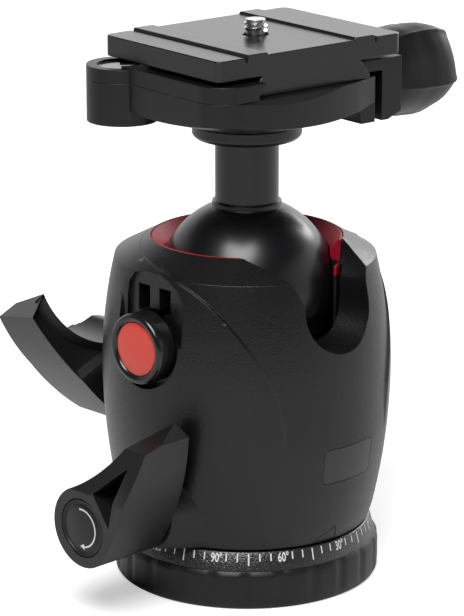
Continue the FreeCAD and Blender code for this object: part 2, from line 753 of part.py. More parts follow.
piece(cut("red_ring_cut", red_blank, ring_gap, facet), "red_ring")

# Portrait selector: a button on the front, a ring round the ball and a red stop by the notch
head = turned("selector_head", [
    ("0", "dims.pocket_floor + dims.lever_gap"),
    ("dims.selector_radius", "dims.pocket_floor + dims.lever_gap"),
    ("dims.selector_radius", "dims.selector_face - 1"),
    ("dims.selector_radius - 1", "dims.selector_face"),
    ("dims.selector_disc_radius + 0.1", "dims.selector_face"),
    ("dims.selector_disc_radius + 0.1", "dims.selector_face - dims.selector_disc_thickness"),
    ("0", "dims.selector_face - dims.selector_disc_thickness"),
])
place(head, z="dims.selector_height", turn=TO_FRONT)
ring_outer = "(dims.selector_ring_radius + dims.selector_ring_thickness)"
shaft = cylinder("selector_shaft", "dims.selector_shaft_radius",
                 f"dims.pocket_floor + dims.lever_gap - {ring_outer} + 0.6",
                 y=f"-{ring_outer} + 0.6", z="dims.selector_height", turn=TO_FRONT)
shaft_end = cylinder("shaft_end", ring_outer, "dims.ball_radius", z="dims.selector_height - dims.ball_radius / 2")
piece(cut("selector_button_cut", fuse("selector_fuse", head, shaft), shaft_end), "selector_button")
ring_blank = tube("selector_ring_blank", "dims.selector_ring_radius", ring_outer,
                  "dims.seat_top_height + 0.6", "dims.seat_top_height + 0.6 + dims.selector_ring_depth")
ring_mouth = box("ring_mouth", "60", "2 * dims.notch_half_width + 1", "40", "0",
                 "-dims.notch_half_width - 0.5", "dims.seat_top_height")
selector_clearance = cylinder("selector_clearance", "dims.ball_radius + dims.ball_gap", "60", z="50")
stop_plan = box("stop_plan", "60", "dims.stop_width", "60", "0", "dims.notch_half_width + 0.5",
                "dims.seat_top_height")
post_band = tube("post_band", "dims.selector_ring_radius", ring_outer,
                 "dims.seat_top_height + 0.6 + dims.selector_ring_depth", "dims.stop_foot")
piece(fuse("selector_ring_body", cut("selector_cut", ring_blank, ring_mouth, selector_clearance),
           common("selector_post", post_band, stop_plan)), "selector_ring")
disc_blank = cylinder("selector_disc_blank", "dims.selector_disc_radius", "dims.selector_disc_thickness - 0.1",
                      y="-dims.selector_face + dims.selector_disc_thickness", z="dims.selector_height",
                      turn=TO_FRONT)
piece(disc_blank, "selector_disc")
stop_band = tube("stop_band", "dims.selector_ring_radius", ring_outer, "dims.stop_foot", "dims.stop_top")
piece(common("stop_body", stop_band, stop_plan), "portrait_stop")


def lever(prefix, screw):
    """A lever moulding in its own frame: the hub along Z and the wing leaning to +X and up Y."""
    hub = f"dims.{prefix}_hub_radius"
    across = f"dims.{prefix}_tip_across"
    up = f"dims.{prefix}_tip_up"
    thick = f"dims.{prefix}_tip_thickness"
    reach = f"sqrt(({across})^2 + ({up})^2)"
    contour = prism(f"{prefix}_contour", "XY_Plane", [
        (f"{hub} * 0.6428", f"-{hub} * 0.7660", hub, 1),
        (across, up, f"{reach} * 2.2", 1),
        (f"{across} - {thick} * 0.89", f"{up} + {thick} * 0.45"),
        (f"-{hub} * 0.4226", f"{hub} * 0.9063", f"{reach} * 1.3", -1),
        (f"-{hub}", "0", hub, 1),
    ], f"dims.{prefix}_hub_length")
    flank = prism(f"{prefix}_flank", "YZ_Plane", [
        (f"-{hub} - 1", "0"),
        (f"{hub} * 0.8", "0"),
        (f"{up} + {thick} * 0.45", f"dims.{prefix}_tip_back"),
        (f"{up} + {thick} * 0.45 - dims.{prefix}_tip_drop", f"dims.{prefix}_tip_front"),
        (f"{hub} * 0.9", f"dims.{prefix}_hub_length"),
        (f"-{hub} - 1", f"dims.{prefix}_hub_length"),
    ], f"2 * {reach}", lift=f"-{reach}")
    hollow = prism(f"{prefix}_hollow", "XY_Plane", [
        (f"{hub} * 0.37", f"{hub} * 0.95"),
        (f"{hub} * 0.94", f"{hub} * 0.20"),
        (f"{across} - {thick} * 0.81", f"{up} - {thick} * 0.95"),
    ], f"dims.{prefix}_hub_length + 5", lift="3.5")
    bore = cylinder(f"{prefix}_lever_bore", screw, "60", z="-1")
    return common(f"{prefix}_shape", contour, flank), hollow, bore


pan_shape, pan_hollow, pan_lever_bore = lever("pan", "dims.pan_screw_radius")
cap_seat = cylinder("cap_seat", "dims.pan_cap_radius", "2 * dims.pan_cap_thickness",
                    z="dims.pan_hub_length - dims.pan_cap_thickness")
pan_lever = cut("pan_lever_cut", pan_shape, pan_hollow, pan_lever_bore, cap_seat)
pan_root = "(dims.pan_boss_face + dims.lever_gap)"
piece(place(pan_lever, y=f"-{pan_root}", z="dims.pan_height", turn=TO_FRONT), "pan_lever")
piece(cylinder("pan_cap", "dims.pan_cap_radius - 0.2", "dims.pan_cap_thickness",
               y=f"-{pan_root} - dims.pan_hub_length + dims.pan_cap_thickness", z="dims.pan_height", turn=TO_FRONT),
      "pan_lever_cap")
pad_inner = "dims.spindle_radius + 0.15"
piece(cylinder("pan_screw", "dims.pan_screw_radius", f"{pan_root} + dims.pan_hub_length - dims.pan_cap_thickness - dims.pan_screw_start", y="-dims.pan_screw_start",
               z="dims.pan_height", turn=TO_FRONT), "pan_lock_screw")
piece(cylinder("brake", "dims.pan_screw_radius", f"dims.pan_screw_start - dims.lever_gap - ({pad_inner})",
               y=f"-({pad_inner})",
               z="dims.pan_height", turn=TO_FRONT), "brake_pad")

main_shape, main_hollow, main_lever_bore = lever("main", "dims.main_screw_radius")
main_lever = cut("main_lever_cut", main_shape, main_hollow, main_lever_bore)
main_root = "(dims.main_boss_face + dims.lever_gap)"
lean = FreeCAD.Rotation(V(0, 0, 1), -worth("dims.main_lean"))
piece(place(main_lever, x=f"-{main_root}", z="dims.main_height", turn=TO_LEFT.multiply(lean)), "main_lever")
main_screw_end = f"{main_root} + dims.main_hub_length + dims.dial_length - 1.5"
main_screw = turned("main_screw_body", [
    ("0", "dims.main_screw_start"),
    ("dims.main_screw_radius * 0.4", "dims.main_screw_start"),
    ("dims.main_screw_radius", "dims.main_screw_start + 2 * dims.main_screw_radius"),
    ("dims.main_screw_radius", main_screw_end),
    ("0", main_screw_end),
])
piece(place(main_screw, z="dims.main_height", turn=TO_LEFT), "main_lock_screw")
dial_blank = turned("dial_blank", [
    ("dims.main_screw_radius + dims.screw_play", "0"),
    ("dims.dial_radius", "0"),
    ("dims.dial_radius", "dims.dial_length - 1"),
    ("dims.dial_radius - 1", "dims.dial_length"),
    ("dims.main_screw_radius + dims.screw_play", "dims.dial_length"),
])
dial_flutes = []
for i in range(12):
    angle = math.radians(30 * i)
    spot = "(dims.dial_radius + dims.dial_flute_radius - 0.5)"
    dial_flutes.append(cylinder(f"dial_flute_{i}", "dims.dial_flute_radius", "2 * dims.dial_radius",
                                f"{spot} * {math.cos(angle):.6f}",
                                f"{spot} * {math.sin(angle):.6f}", "-1"))
dial = cut("dial_cut", dial_blank, *dial_flutes)
piece(place(dial, x=f"-{main_root} - dims.main_hub_length - dims.lever_gap", z="dims.main_height", turn=TO_LEFT),
      "friction_dial")

# Ball and neck, turned in one piece, with a small step at the neck's root
joint_height = "dims.ball_height + sqrt(dims.ball_radius^2 - dims.neck_root_radius^2)"
piece(turned("ball_body", [
    ("0", "dims.ball_height - dims.ball_radius"),
    ("dims.ball_radius", "dims.ball_height", "dims.ball_radius", 1),
    ("dims.neck_root_radius", joint_height, "dims.ball_radius", 1),
    ("dims.neck_root_radius", "dims.neck_root_height"),
    ("dims.neck_radius", "dims.neck_root_height + 0.7"),
    ("dims.neck_radius", "dims.neck_top_height"),
    ("dims.neck_bore_radius", "dims.neck_top_height"),
    ("dims.neck_bore_radius", "dims.neck_top_height - dims.neck_bore_depth"),
    ("0", "dims.neck_top_height - dims.neck_bore_depth"),
]), "ball_stem")


def aim(thing, label):
    """Turns a finished piece of the clamp to the clamp's own direction."""
    bind(thing, Placement__Rotation__Angle="-dims.clamp_yaw * 1 deg")
    return piece(thing, label)


# Clamp: a dished body with a fixed lip, the level's boss and the rear block that guides the jaw
plate_floor = "(dims.plate_top - dims.plate_slab - dims.dovetail_depth)"
flank_slope = ("((dims.dovetail_foot_half - dims.dovetail_neck_half)"
               " / (dims.dovetail_depth - dims.dovetail_land))")
lip_half = (f"(dims.dovetail_foot_half + dims.plate_gap - {flank_slope}"
            f" * (dims.lip_top - {plate_floor} - dims.dovetail_land))")
foot_half = "(dims.dovetail_foot_half + dims.plate_gap)"
piece(turned("collar_body", [
    ("dims.bolt_radius", "dims.neck_top_height"),
    ("dims.collar_radius - 1", "dims.neck_top_height"),
    ("dims.collar_radius", "dims.neck_top_height + 1"),
    ("dims.collar_radius", "dims.collar_top_height"),
    ("dims.bolt_radius", "dims.collar_top_height"),
]), "clamp_collar")
clamp_plan = prism("clamp_plan", "XY_Plane", [
    ("-dims.boss_centre_x", "-dims.clamp_side"),
    ("dims.clamp_front - 3 - dims.clamp_corner", "-dims.clamp_side"),
    ("dims.clamp_front - 3", "-dims.clamp_side + dims.clamp_corner", "dims.clamp_corner", 1),
    ("dims.clamp_front - 5", "dims.clamp_rear - 8", "dims.clamp_bow", 1),
    ("dims.jaw_half_length", "dims.clamp_rear"),
    ("-dims.jaw_half_length", "dims.clamp_rear"),
    ("-dims.clamp_front + 5", "dims.clamp_rear - 8"),
    ("-dims.clamp_front + 3", "-dims.clamp_side + dims.clamp_corner", "dims.clamp_bow", 1),
], "dims.lip_top - dims.neck_top_height", lift="dims.neck_top_height")
dish = turned("dish", [
    ("0", "dims.collar_top_height"),
    ("dims.collar_radius", "dims.collar_top_height"),
    ("dims.clamp_reach", "dims.collar_top_height + dims.clamp_dish_rise"),
    ("dims.clamp_reach", "dims.lip_top + 2"),
    ("0", "dims.lip_top + 2"),
])
rear_blank = box("rear_blank", "2 * dims.jaw_half_length", "dims.clamp_block_depth + 5",
                 f"{plate_floor} - dims.jaw_bottom", "-dims.jaw_half_length",
                 "dims.clamp_rear - dims.clamp_block_depth - 5", "dims.jaw_bottom")
rear_scoop = cylinder("rear_scoop", "dims.clamp_scoop_radius", "130", "-65",
                      "dims.clamp_rear - dims.clamp_block_depth - dims.clamp_scoop_radius",
                      "dims.jaw_bottom", FreeCAD.Rotation(V(0, 0, 1), V(1, 0, 0)))
rear_block = cut("rear_block", rear_blank, rear_scoop)
front_edge = prism("front_edge", "XZ_Plane", [
    ("dims.clamp_front - dims.clamp_edge_run", f"{plate_floor}"),
    ("dims.clamp_front + dims.clamp_edge_run", f"{plate_floor} - 2 * dims.clamp_edge_run"),
    ("dims.clamp_front + dims.clamp_edge_run", "dims.lip_top + 2"),
    ("dims.clamp_front - dims.clamp_edge_run", "dims.lip_top + 2"),
], "130", lift="-65")
level_boss = cylinder("level_boss", "dims.boss_radius", "dims.boss_top - dims.boss_bottom",
                      "-dims.boss_centre_x", "-dims.boss_centre_y", "dims.boss_bottom")
channel = prism("channel", "YZ_Plane", [
    (f"dims.plate_offset - {foot_half}", plate_floor),
    ("60", plate_floor),
    ("60", "dims.lip_top + 5"),
    (f"dims.plate_offset - {lip_half} + {flank_slope} * 5", "dims.lip_top + 5"),
    (f"dims.plate_offset - {lip_half}", "dims.lip_top"),
    (f"dims.plate_offset - {foot_half}", f"{plate_floor} + dims.dovetail_land"),
], "120", lift="-60")
level_hole = cylinder("level_hole", "dims.level_radius", "dims.level_depth + 10",
                      "-dims.boss_centre_x", "-dims.boss_centre_y", "dims.boss_top - dims.level_depth")
bolt_hole = cylinder("bolt_hole", "dims.bolt_radius", "dims.clamp_reach", z="dims.neck_top_height - 1")
bolt_pocket = cylinder("bolt_pocket", "dims.bolt_head_radius + 0.3", "30", z="dims.clamp_floor_height")
draw_hole = cylinder("draw_hole", "dims.draw_bolt_radius + dims.screw_play", "dims.clamp_reach",
                     y="dims.draw_start - 3", z="dims.knob_height", turn=TO_KNOB)
pin_seats = [cylinder(f"pin_seat_{side}", "dims.pin_radius", "30", f"{side} * dims.pin_spacing / 2",
                      "dims.clamp_rear - dims.pin_depth", "dims.knob_height", TO_KNOB) for side in (-1, 1)]
clamp_blank = fuse("clamp_blank", common("clamp_core", clamp_plan, dish), rear_block, level_boss)
clamp_whole = cut("clamp_cut", clamp_blank, channel, level_hole, bolt_hole, bolt_pocket, draw_hole, front_edge,
                  *pin_seats)
floor_split = box("floor_split", "120", "120", "60", "-60", "-60", plate_floor)
aim(cut("clamp_low", clamp_whole, floor_split), "clamp_body")
aim(common("clamp_high", clamp_whole, floor_split), "clamp_rail")
piece(fuse("clamp_bolt_body",
           cylinder("clamp_bolt_shank", "dims.bolt_radius",
                    "dims.clamp_floor_height - dims.neck_top_height + dims.neck_bore_depth - 1",
                    z="dims.neck_top_height - dims.neck_bore_depth + 1"),
           cylinder("clamp_bolt_head", "dims.bolt_head_radius", "dims.bolt_head_height",
                    z="dims.clamp_floor_height")), "clamp_bolt")
aim(group("vial_group", [cylinder("vial_blank", "dims.level_radius - 0.05", "dims.level_depth - 1.4",
                                  "-dims.boss_centre_x", "-dims.boss_centre_y",
                                  "dims.boss_top - dims.level_depth")]), "level_vial")
aim(group("lens_group", [cylinder("lens_blank", "dims.level_radius - 0.05", "0.8",
                                  "-dims.boss_centre_x", "-dims.boss_centre_y",
                                  "dims.boss_top - 1.4")]), "level_lens")
aim(group("pin_group", [cylinder(f"guide_pin_{side}", "dims.pin_radius", "dims.pin_depth + dims.jaw_gap + dims.jaw_thickness * 0.66",
                                 f"{side} * dims.pin_spacing / 2", "dims.clamp_rear - dims.pin_depth",
                                 "dims.knob_height", TO_KNOB) for side in (-1, 1)]), "guide_pins")

# Jaw, its draw bolt and the lobed knob
jaw_inner = "(dims.clamp_rear + dims.jaw_gap)"
jaw_outer = f"({jaw_inner} + dims.jaw_thickness)"
jaw_blank = prism("jaw_blank", "YZ_Plane", [
    (jaw_inner, "dims.jaw_bottom"),
    (f"{jaw_inner} + dims.jaw_thickness / 3", "dims.jaw_bottom"),
    (jaw_outer, "dims.jaw_bottom + dims.jaw_chamfer"),
    (jaw_outer, "dims.lip_top"),
    (f"dims.plate_offset + {lip_half}", "dims.lip_top"),
    (f"dims.plate_offset + {foot_half}", f"{plate_floor} + dims.dovetail_land"),
    (jaw_inner, f"{plate_floor} + dims.dovetail_land"),
], "2 * dims.jaw_half_length", lift="-dims.jaw_half_length")
jaw_draw = cylinder("jaw_draw", "dims.draw_bolt_radius + dims.screw_play", "2 * dims.clamp_reach",
                    z="dims.knob_height", turn=TO_KNOB)
jaw_holes = [cylinder(f"jaw_pin_hole_{side}", "dims.pin_radius + dims.screw_play",
                      "dims.pin_depth + dims.jaw_gap + dims.jaw_thickness * 0.74",
                      f"{side} * dims.pin_spacing / 2", "dims.clamp_rear - dims.pin_depth",
                      "dims.knob_height", TO_KNOB) for side in (-1, 1)]
aim(cut("jaw_cut", jaw_blank, jaw_draw, *jaw_holes), "clamp_jaw")

knob_blank = turned("knob_blank", [
    ("dims.draw_bolt_radius", "0"),
    ("dims.knob_neck_radius", "0"),
    ("dims.knob_neck_radius", "dims.knob_length * 0.16"),
    ("dims.knob_radius * 0.93", "dims.knob_length * 0.45"),
    ("dims.knob_radius", "dims.knob_length * 0.74"),
    ("dims.knob_radius * 0.94", "dims.knob_length * 0.94"),
    ("dims.knob_radius * 0.84", "dims.knob_length"),
    ("dims.draw_bolt_radius", "dims.knob_length"),
])
knob_start = f"({jaw_outer} + dims.lever_gap)"
place(knob_blank, y=knob_start, z="dims.knob_height", turn=TO_KNOB)
knob_cuts = []
lobe_total = int(worth("dims.knob_lobe_count"))
for i in range(lobe_total):
    angle = 2 * math.pi * (i + 0.5) / lobe_total - math.radians(worth("dims.knob_phase"))
    spot = "(dims.knob_radius + dims.knob_scallop_radius - dims.knob_lobe_depth)"
    knob_cuts.append(cylinder(f"knob_cut_{i}", "dims.knob_scallop_radius", "dims.knob_length",
                              f"{spot} * {math.cos(angle):.6f}", f"{knob_start} + dims.knob_length * 0.1",
                              f"dims.knob_height + {spot} * {math.sin(angle):.6f}", TO_KNOB))
aim(cut("knob_body", knob_blank, *knob_cuts), "clamp_knob")
aim(group("draw_group", [cylinder("draw_blank", "dims.draw_bolt_radius",
                                  f"{knob_start} + dims.knob_length - 2 - dims.draw_start", y="dims.draw_start",
                                  z="dims.knob_height", turn=TO_KNOB)]), "draw_bolt")

# Quick plate: an extruded section with raised ridges, a dovetail and a recess for the screw head
slab_floor = "(dims.plate_top - dims.plate_slab)"
mid = "dims.plate_offset"
top_side = [
    ("dims.plate_length / 2", slab_floor),
    ("dims.plate_length / 2", "dims.plate_top - dims.ridge_rise"),
    ("dims.ridge_outer + 1.1", "dims.plate_top - dims.ridge_rise"),
    ("dims.ridge_outer + 0.5", "dims.plate_top - dims.ridge_rise - dims.ridge_groove"),
    ("dims.ridge_outer", "dims.plate_top"),
    ("dims.ridge_inner", "dims.plate_top"),
    ("dims.ridge_inner - 0.5", "dims.plate_top - dims.ridge_rise"),
]
section = [("dims.dovetail_foot_half", plate_floor),
           ("dims.dovetail_foot_half", f"{plate_floor} + dims.dovetail_land"),
           ("dims.dovetail_neck_half", slab_floor)] + top_side
plate_path = [(f"{mid} + {y}", z) for y, z in section] + [(f"{mid} - ({y})", z) for y, z in reversed(section)]
plate_blank = prism("plate_blank", "YZ_Plane", plate_path, "dims.plate_width",
                    lift="-dims.plate_width / 2 - dims.plate_shift")
half_long = "(dims.plate_length / 2)"
half_wide = "(dims.plate_width / 2)"
curve = "dims.plate_corner"
plate_plan = prism("plate_plan", "XY_Plane", [
    (f"-dims.plate_shift + {half_wide} - {curve}", f"{mid} - {half_long}"),
    (f"-dims.plate_shift + {half_wide}", f"{mid} - {half_long} + {curve}", curve, 1),
    (f"-dims.plate_shift + {half_wide}", f"{mid} + {half_long} - {curve}"),
    (f"-dims.plate_shift + {half_wide} - {curve}", f"{mid} + {half_long}", curve, 1),
    (f"-dims.plate_shift - {half_wide} + {curve}", f"{mid} + {half_long}"),
    (f"-dims.plate_shift - {half_wide}", f"{mid} + {half_long} - {curve}", curve, 1),
    (f"-dims.plate_shift - {half_wide}", f"{mid} - {half_long} + {curve}"),
    (f"-dims.plate_shift - {half_wide} + {curve}", f"{mid} - {half_long}", curve, 1),
], "dims.plate_rise", lift="dims.collar_top_height + 1")
head_recess = cylinder("head_recess", "dims.camera_head_radius + 0.3", "dims.camera_head_thickness + 0.6",
                       y=mid, z=plate_floor)
screw_hole = cylinder("screw_hole", "dims.camera_screw_radius + 0.25", "dims.clamp_reach", y=mid,
                      z="dims.neck_top_height")
aim(cut("plate_cut", common("plate_round", plate_blank, plate_plan), head_recess, screw_hole), "quick_plate")
field = "(dims.plate_top - dims.ridge_rise)"
camera_neck = cylinder("camera_neck", "dims.camera_neck_radius",
                       f"{field} + dims.camera_neck_rise - {plate_floor} - 0.3", y=mid, z=f"{plate_floor} + 0.3")
camera_thread = cylinder("camera_thread", "dims.camera_screw_radius",
                         "dims.camera_screw_rise - dims.camera_neck_rise", y=mid,
                         z=f"{field} + dims.camera_neck_rise")
camera_head = cylinder("camera_head", "dims.camera_head_radius", "dims.camera_head_thickness",
                       y=mid, z=f"{plate_floor} + 0.3")
coin_slot = box("coin_slot", "3 * dims.camera_head_radius", "dims.coin_slot_width", "dims.camera_head_thickness / 2",
                "-1.5 * dims.camera_head_radius", f"{mid} - dims.coin_slot_width / 2", f"{plate_floor} + 0.3")
aim(cut("camera_screw_body", fuse("camera_screw_blank", camera_neck, camera_thread, camera_head), coin_slot), "camera_screw")

doc.recompute()

faults = [thing.Name for thing in doc.Objects if {"Invalid", "Error"} & set(thing.State)]
for thing in kept:
    if thing.Shape.isNull() or not thing.Shape.isValid() or not thing.Shape.Solids:
        faults.append(thing.Label)
if faults:
    raise SystemExit("these did not build: " + ", ".join(faults))

os.makedirs("parts", exist_ok=True)
for thing in kept:
    thing.Shape.exportStep(f"parts/{thing.Label}.step")
    print(thing.Label, len(thing.Shape.Solids), round(thing.Shape.Volume, 1))
print(len(kept), "pieces")
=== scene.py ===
import json
from math import asin, atan2, cos, hypot, pi, radians, sin, sqrt, tau

import bmesh
import bpy
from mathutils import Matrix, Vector
from mathutils.bvhtree import BVHTree


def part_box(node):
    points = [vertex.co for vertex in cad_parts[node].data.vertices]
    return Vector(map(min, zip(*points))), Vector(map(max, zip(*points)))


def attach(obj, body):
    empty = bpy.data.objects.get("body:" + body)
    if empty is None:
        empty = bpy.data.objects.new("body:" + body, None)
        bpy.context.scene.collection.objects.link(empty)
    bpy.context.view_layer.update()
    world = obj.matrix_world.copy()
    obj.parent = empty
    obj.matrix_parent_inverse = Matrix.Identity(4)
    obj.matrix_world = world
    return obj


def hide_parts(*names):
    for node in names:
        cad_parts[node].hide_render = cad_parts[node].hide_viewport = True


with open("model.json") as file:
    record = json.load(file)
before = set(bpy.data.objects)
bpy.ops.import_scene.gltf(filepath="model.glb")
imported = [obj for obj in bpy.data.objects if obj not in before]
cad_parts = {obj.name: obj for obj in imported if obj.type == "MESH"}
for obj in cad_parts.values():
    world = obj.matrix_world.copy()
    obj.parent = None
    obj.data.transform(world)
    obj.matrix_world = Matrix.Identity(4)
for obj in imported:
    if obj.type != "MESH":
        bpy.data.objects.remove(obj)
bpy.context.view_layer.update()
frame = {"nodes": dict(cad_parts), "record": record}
MM = 0.001

# %% [markdown]
# A tripod ball head is almost all black: cast alloy with a baked coat, anodised aluminium, moulded plastic
# and a little red. On such an object the shapes are read from highlights, so this lesson rounds every edge,
# gives each black its own gloss and grain, and takes as much care over what the blacks mirror as over them.

# %% [markdown]
# The camera comes first. It stands level with twice the height of the head and looks down by 16 degrees,
# with a long lens, as for a catalogue picture. A camera could be aimed by a constraint, but plain angles
# are easier to read, and they stay put when another view is asked for.

# %% The camera
CAMERA_DISTANCE = 776 * MM
CAMERA_HEIGHT = 296.5 * MM
CAMERA_PITCH = radians(16.19)
CAMERA_SIDE = radians(45)
CAMERA_YAW = 0.0050
CAMERA_NEAREST = 50 * MM
CAMERA_FARTHEST = 20
LENS_PIXELS = 3070
IMAGE_TALL = 616
SENSOR_WIDE = 36

camera_data = bpy.data.cameras.new("camera")
camera_data.sensor_width = SENSOR_WIDE
camera_data.lens = LENS_PIXELS / IMAGE_TALL * SENSOR_WIDE
camera_data.clip_start = CAMERA_NEAREST
camera_data.clip_end = CAMERA_FARTHEST
camera = bpy.data.objects.new("camera", camera_data)
camera.location = (CAMERA_DISTANCE * sin(CAMERA_SIDE), -CAMERA_DISTANCE * cos(CAMERA_SIDE), CAMERA_HEIGHT)
camera.rotation_euler = (pi / 2 - CAMERA_PITCH, 0, CAMERA_SIDE + CAMERA_YAW)
bpy.context.scene.collection.objects.link(camera)
bpy.context.scene.camera = camera
print(f"camera lens {camera_data.lens:.1f} mm")

# %% [markdown]
# Materials are written as expressions. One small class stands for a socket, and its operators add Math
# nodes, so a mask reads like a formula. Every other node comes from one method, which sets a node's own
# settings before its values and links, because a setting can change which sockets a node has.


# %% A socket that takes part in arithmetic
class Wire:
    """One output socket in a node tree, on which arithmetic adds Math nodes."""

    def __init__(self, nodes, socket):
        self.nodes = nodes
        self.socket = socket

    def math(self, operation, first, second):
        return self.nodes.node("ShaderNodeMath", {"operation": operation}, [first, second])

    def __add__(self, other):
        return self.math("ADD", self, other)

    def __sub__(self, other):
        return self.math("SUBTRACT", self, other)

    def __rsub__(self, other):
        return self.math("SUBTRACT", other, self)

    def __mul__(self, other):
        return self.math("MULTIPLY", self, other)

    def __truediv__(self, other):
        return self.math("DIVIDE", self, other)

    def __rtruediv__(self, other):
        return self.math("DIVIDE", other, self)

    def at_least(self, other):
        return self.math("MAXIMUM", self, other)

    __radd__ = __add__
    __rmul__ = __mul__


# %% A node tree and a material under construction
class Nodes:
    """A node tree under construction, with one method that adds any node."""

    def __init__(self, tree):
        self.tree = tree
        self.tree.nodes.clear()

    def node(self, kind, settings=None, inputs=None, out=0):
        """Adds a node: its settings first, then the values or links of its sockets."""
        made = self.tree.nodes.new(kind)
        for key, value in (settings or {}).items():
            if key == "stops":
                ramp = made.color_ramp
                for spot, (where, colour) in enumerate(value):
                    stop = ramp.elements[spot] if spot < 2 else ramp.elements.new(where)
                    stop.position = where
                    stop.color = (*colour, 1)
            else:
                setattr(made, key, value)
        pairs = inputs.items() if isinstance(inputs, dict) else enumerate(inputs or [])
        for key, value in pairs:
            if isinstance(value, Wire):
                self.tree.links.new(value.socket, made.inputs[key])
            else:
                made.inputs[key].default_value = value
        return Wire(self, made.outputs[out])

    def show(self, kind, shader):
        """Adds the output node and gives it a shader as its surface."""
        self.tree.links.new(shader.socket, self.tree.nodes.new(kind).inputs["Surface"])

    def seen_by_camera(self):
        """One for the rays that leave the camera, and nothing for the rest."""
        return self.node("ShaderNodeLightPath", out="Is Camera Ray")


class Finish(Nodes):
    """A material under construction."""

    def __init__(self, name):
        self.material = bpy.data.materials.new(name)
        self.material.use_nodes = True
        super().__init__(self.material.node_tree)
        self.place = self.node("ShaderNodeTexCoord", out="Object")

    def along(self, axis):
        """The place of a point along X, Y or Z, in metres."""
        return self.node("ShaderNodeSeparateXYZ", None, [self.place], axis)

    def noise(self, size, detail, rough):
        """Noise whose lumps are about the given size in metres, from 0 to 1."""
        return self.node("ShaderNodeTexNoise", None,
                         {"Vector": self.place, "Scale": 1 / size, "Detail": detail, "Roughness": rough})

    def surface(self, shader):
        self.show("ShaderNodeOutputMaterial", shader)
        return self.material

    def glowing(self, strength):
        return self.node("ShaderNodeEmission", None, {"Strength": strength})


# %% [markdown]
# The stage is a pale sheet inside a low, round white wall, open and dark above. A black object shows
# hardly any colour of its own: its sides mirror the floor, its rims mirror the wall, and its upward faces
# mirror whatever is overhead. The wall is brighter behind and to the right, where a studio's window
# would be. The floor adds a little light for the camera alone, so that it prints white around the shadow.

# %% The floor, the wall and the sky
FLOOR_HALF = 2.4
FLOOR_COLOUR = (0.72, 0.72, 0.72, 1)
FLOOR_FOR_CAMERA = 0.5
WALL_RADIUS = 2.2
WALL_TALL = 1.25
WALL_STEPS = 96
WALL_LEVEL = 0.52
WALL_TO_RIGHT = 0.42
WALL_TO_BACK = 0.8
WALL_DARKEST = 0.05
SKY_LEVEL = 0.06
IN_FRONT = (sin(CAMERA_SIDE), -cos(CAMERA_SIDE))


def add_object(name, bm, material=None):
    """Makes an object of a bmesh and gives it a material."""
    mesh = bpy.data.meshes.new(name)
    bm.to_mesh(mesh)
    bm.free()
    made = bpy.data.objects.new(name, mesh)
    bpy.context.scene.collection.objects.link(made)
    if material:
        mesh.materials.append(material)
    return made


def move_extruded(bm, geometry, offset):
    """Moves the vertices among what an extrusion made."""
    verts = [part for part in geometry if isinstance(part, bmesh.types.BMVert)]
    bmesh.ops.translate(bm, verts=verts, vec=offset)


def floor_finish():
    made = Finish("pale_floor")
    matt = made.node("ShaderNodeBsdfDiffuse", None, {"Color": FLOOR_COLOUR})
    glow = made.glowing(made.seen_by_camera() * FLOOR_FOR_CAMERA)
    return made.surface(made.node("ShaderNodeAddShader", None, [matt, glow]))


def wall_finish():
    made = Finish("white_wall")
    x, y = made.along("X"), made.along("Y")
    right = (x * -IN_FRONT[1] + y * IN_FRONT[0]) / WALL_RADIUS
    back = (x * -IN_FRONT[0] + y * -IN_FRONT[1]) / WALL_RADIUS
    level = (right * WALL_TO_RIGHT + back * WALL_TO_BACK + WALL_LEVEL).at_least(WALL_DARKEST)
    return made.surface(made.glowing(level + made.seen_by_camera() * (1 - level)))


bm = bmesh.new()
bmesh.ops.create_grid(bm, x_segments=1, y_segments=1, size=FLOOR_HALF)
floor = add_object("floor", bm, floor_finish())

bm = bmesh.new()
bmesh.ops.create_circle(bm, segments=WALL_STEPS, radius=WALL_RADIUS)
raised = bmesh.ops.extrude_edge_only(bm, edges=bm.edges[:])["geom"]
move_extruded(bm, raised, (0, 0, WALL_TALL))
wall = add_object("wall", bm, wall_finish())

world = bpy.data.worlds.new("studio")
world.use_nodes = True
bpy.context.scene.world = world
sky = Nodes(world.node_tree)
brightness = sky.seen_by_camera() * (1 - SKY_LEVEL) + SKY_LEVEL
sky.show("ShaderNodeOutputWorld", sky.node("ShaderNodeBackground", None, {"Strength": brightness}))
print(f"stage {2 * FLOOR_HALF:.1f} m wide, wall {WALL_TALL:.2f} m tall")

# %% [markdown]
# One large soft box hangs in front and above, a little to the left. It draws the round highlight on the
# ball and lights the barrel's bevelled rim. A second one, lower and behind to the right, throws the soft
# shadow to the left and draws the bright line down the right side. Both are round, as umbrellas are,
# because the ball mirrors their outline.

# %% The lamps
LAMPS_AIM = Vector((0, 0, 80 * MM))


def soft_box(name, azimuth, elevation, distance, across, power):
    """A round area lamp at an azimuth counted from the camera, positive to the image's right."""
    data = bpy.data.lights.new(name, "AREA")
    data.shape = "ELLIPSE"
    data.size = across
    data.size_y = across
    data.energy = power
    lamp = bpy.data.objects.new(name, data)
    turn = azimuth - CAMERA_SIDE
    flat = distance * cos(elevation)
    lamp.location = LAMPS_AIM + Vector((flat * cos(turn), flat * sin(turn), distance * sin(elevation)))
    lamp.rotation_euler = (LAMPS_AIM - lamp.location).to_track_quat("-Z", "Y").to_euler()
    bpy.context.scene.collection.objects.link(lamp)
    print(f"{name}: {power} W, {across} m across")


soft_box("front_box", azimuth=radians(-15), elevation=radians(56), distance=1.2, across=0.8, power=19)
soft_box("rear_box", azimuth=radians(142), elevation=radians(28), distance=1.4, across=0.6, power=9)

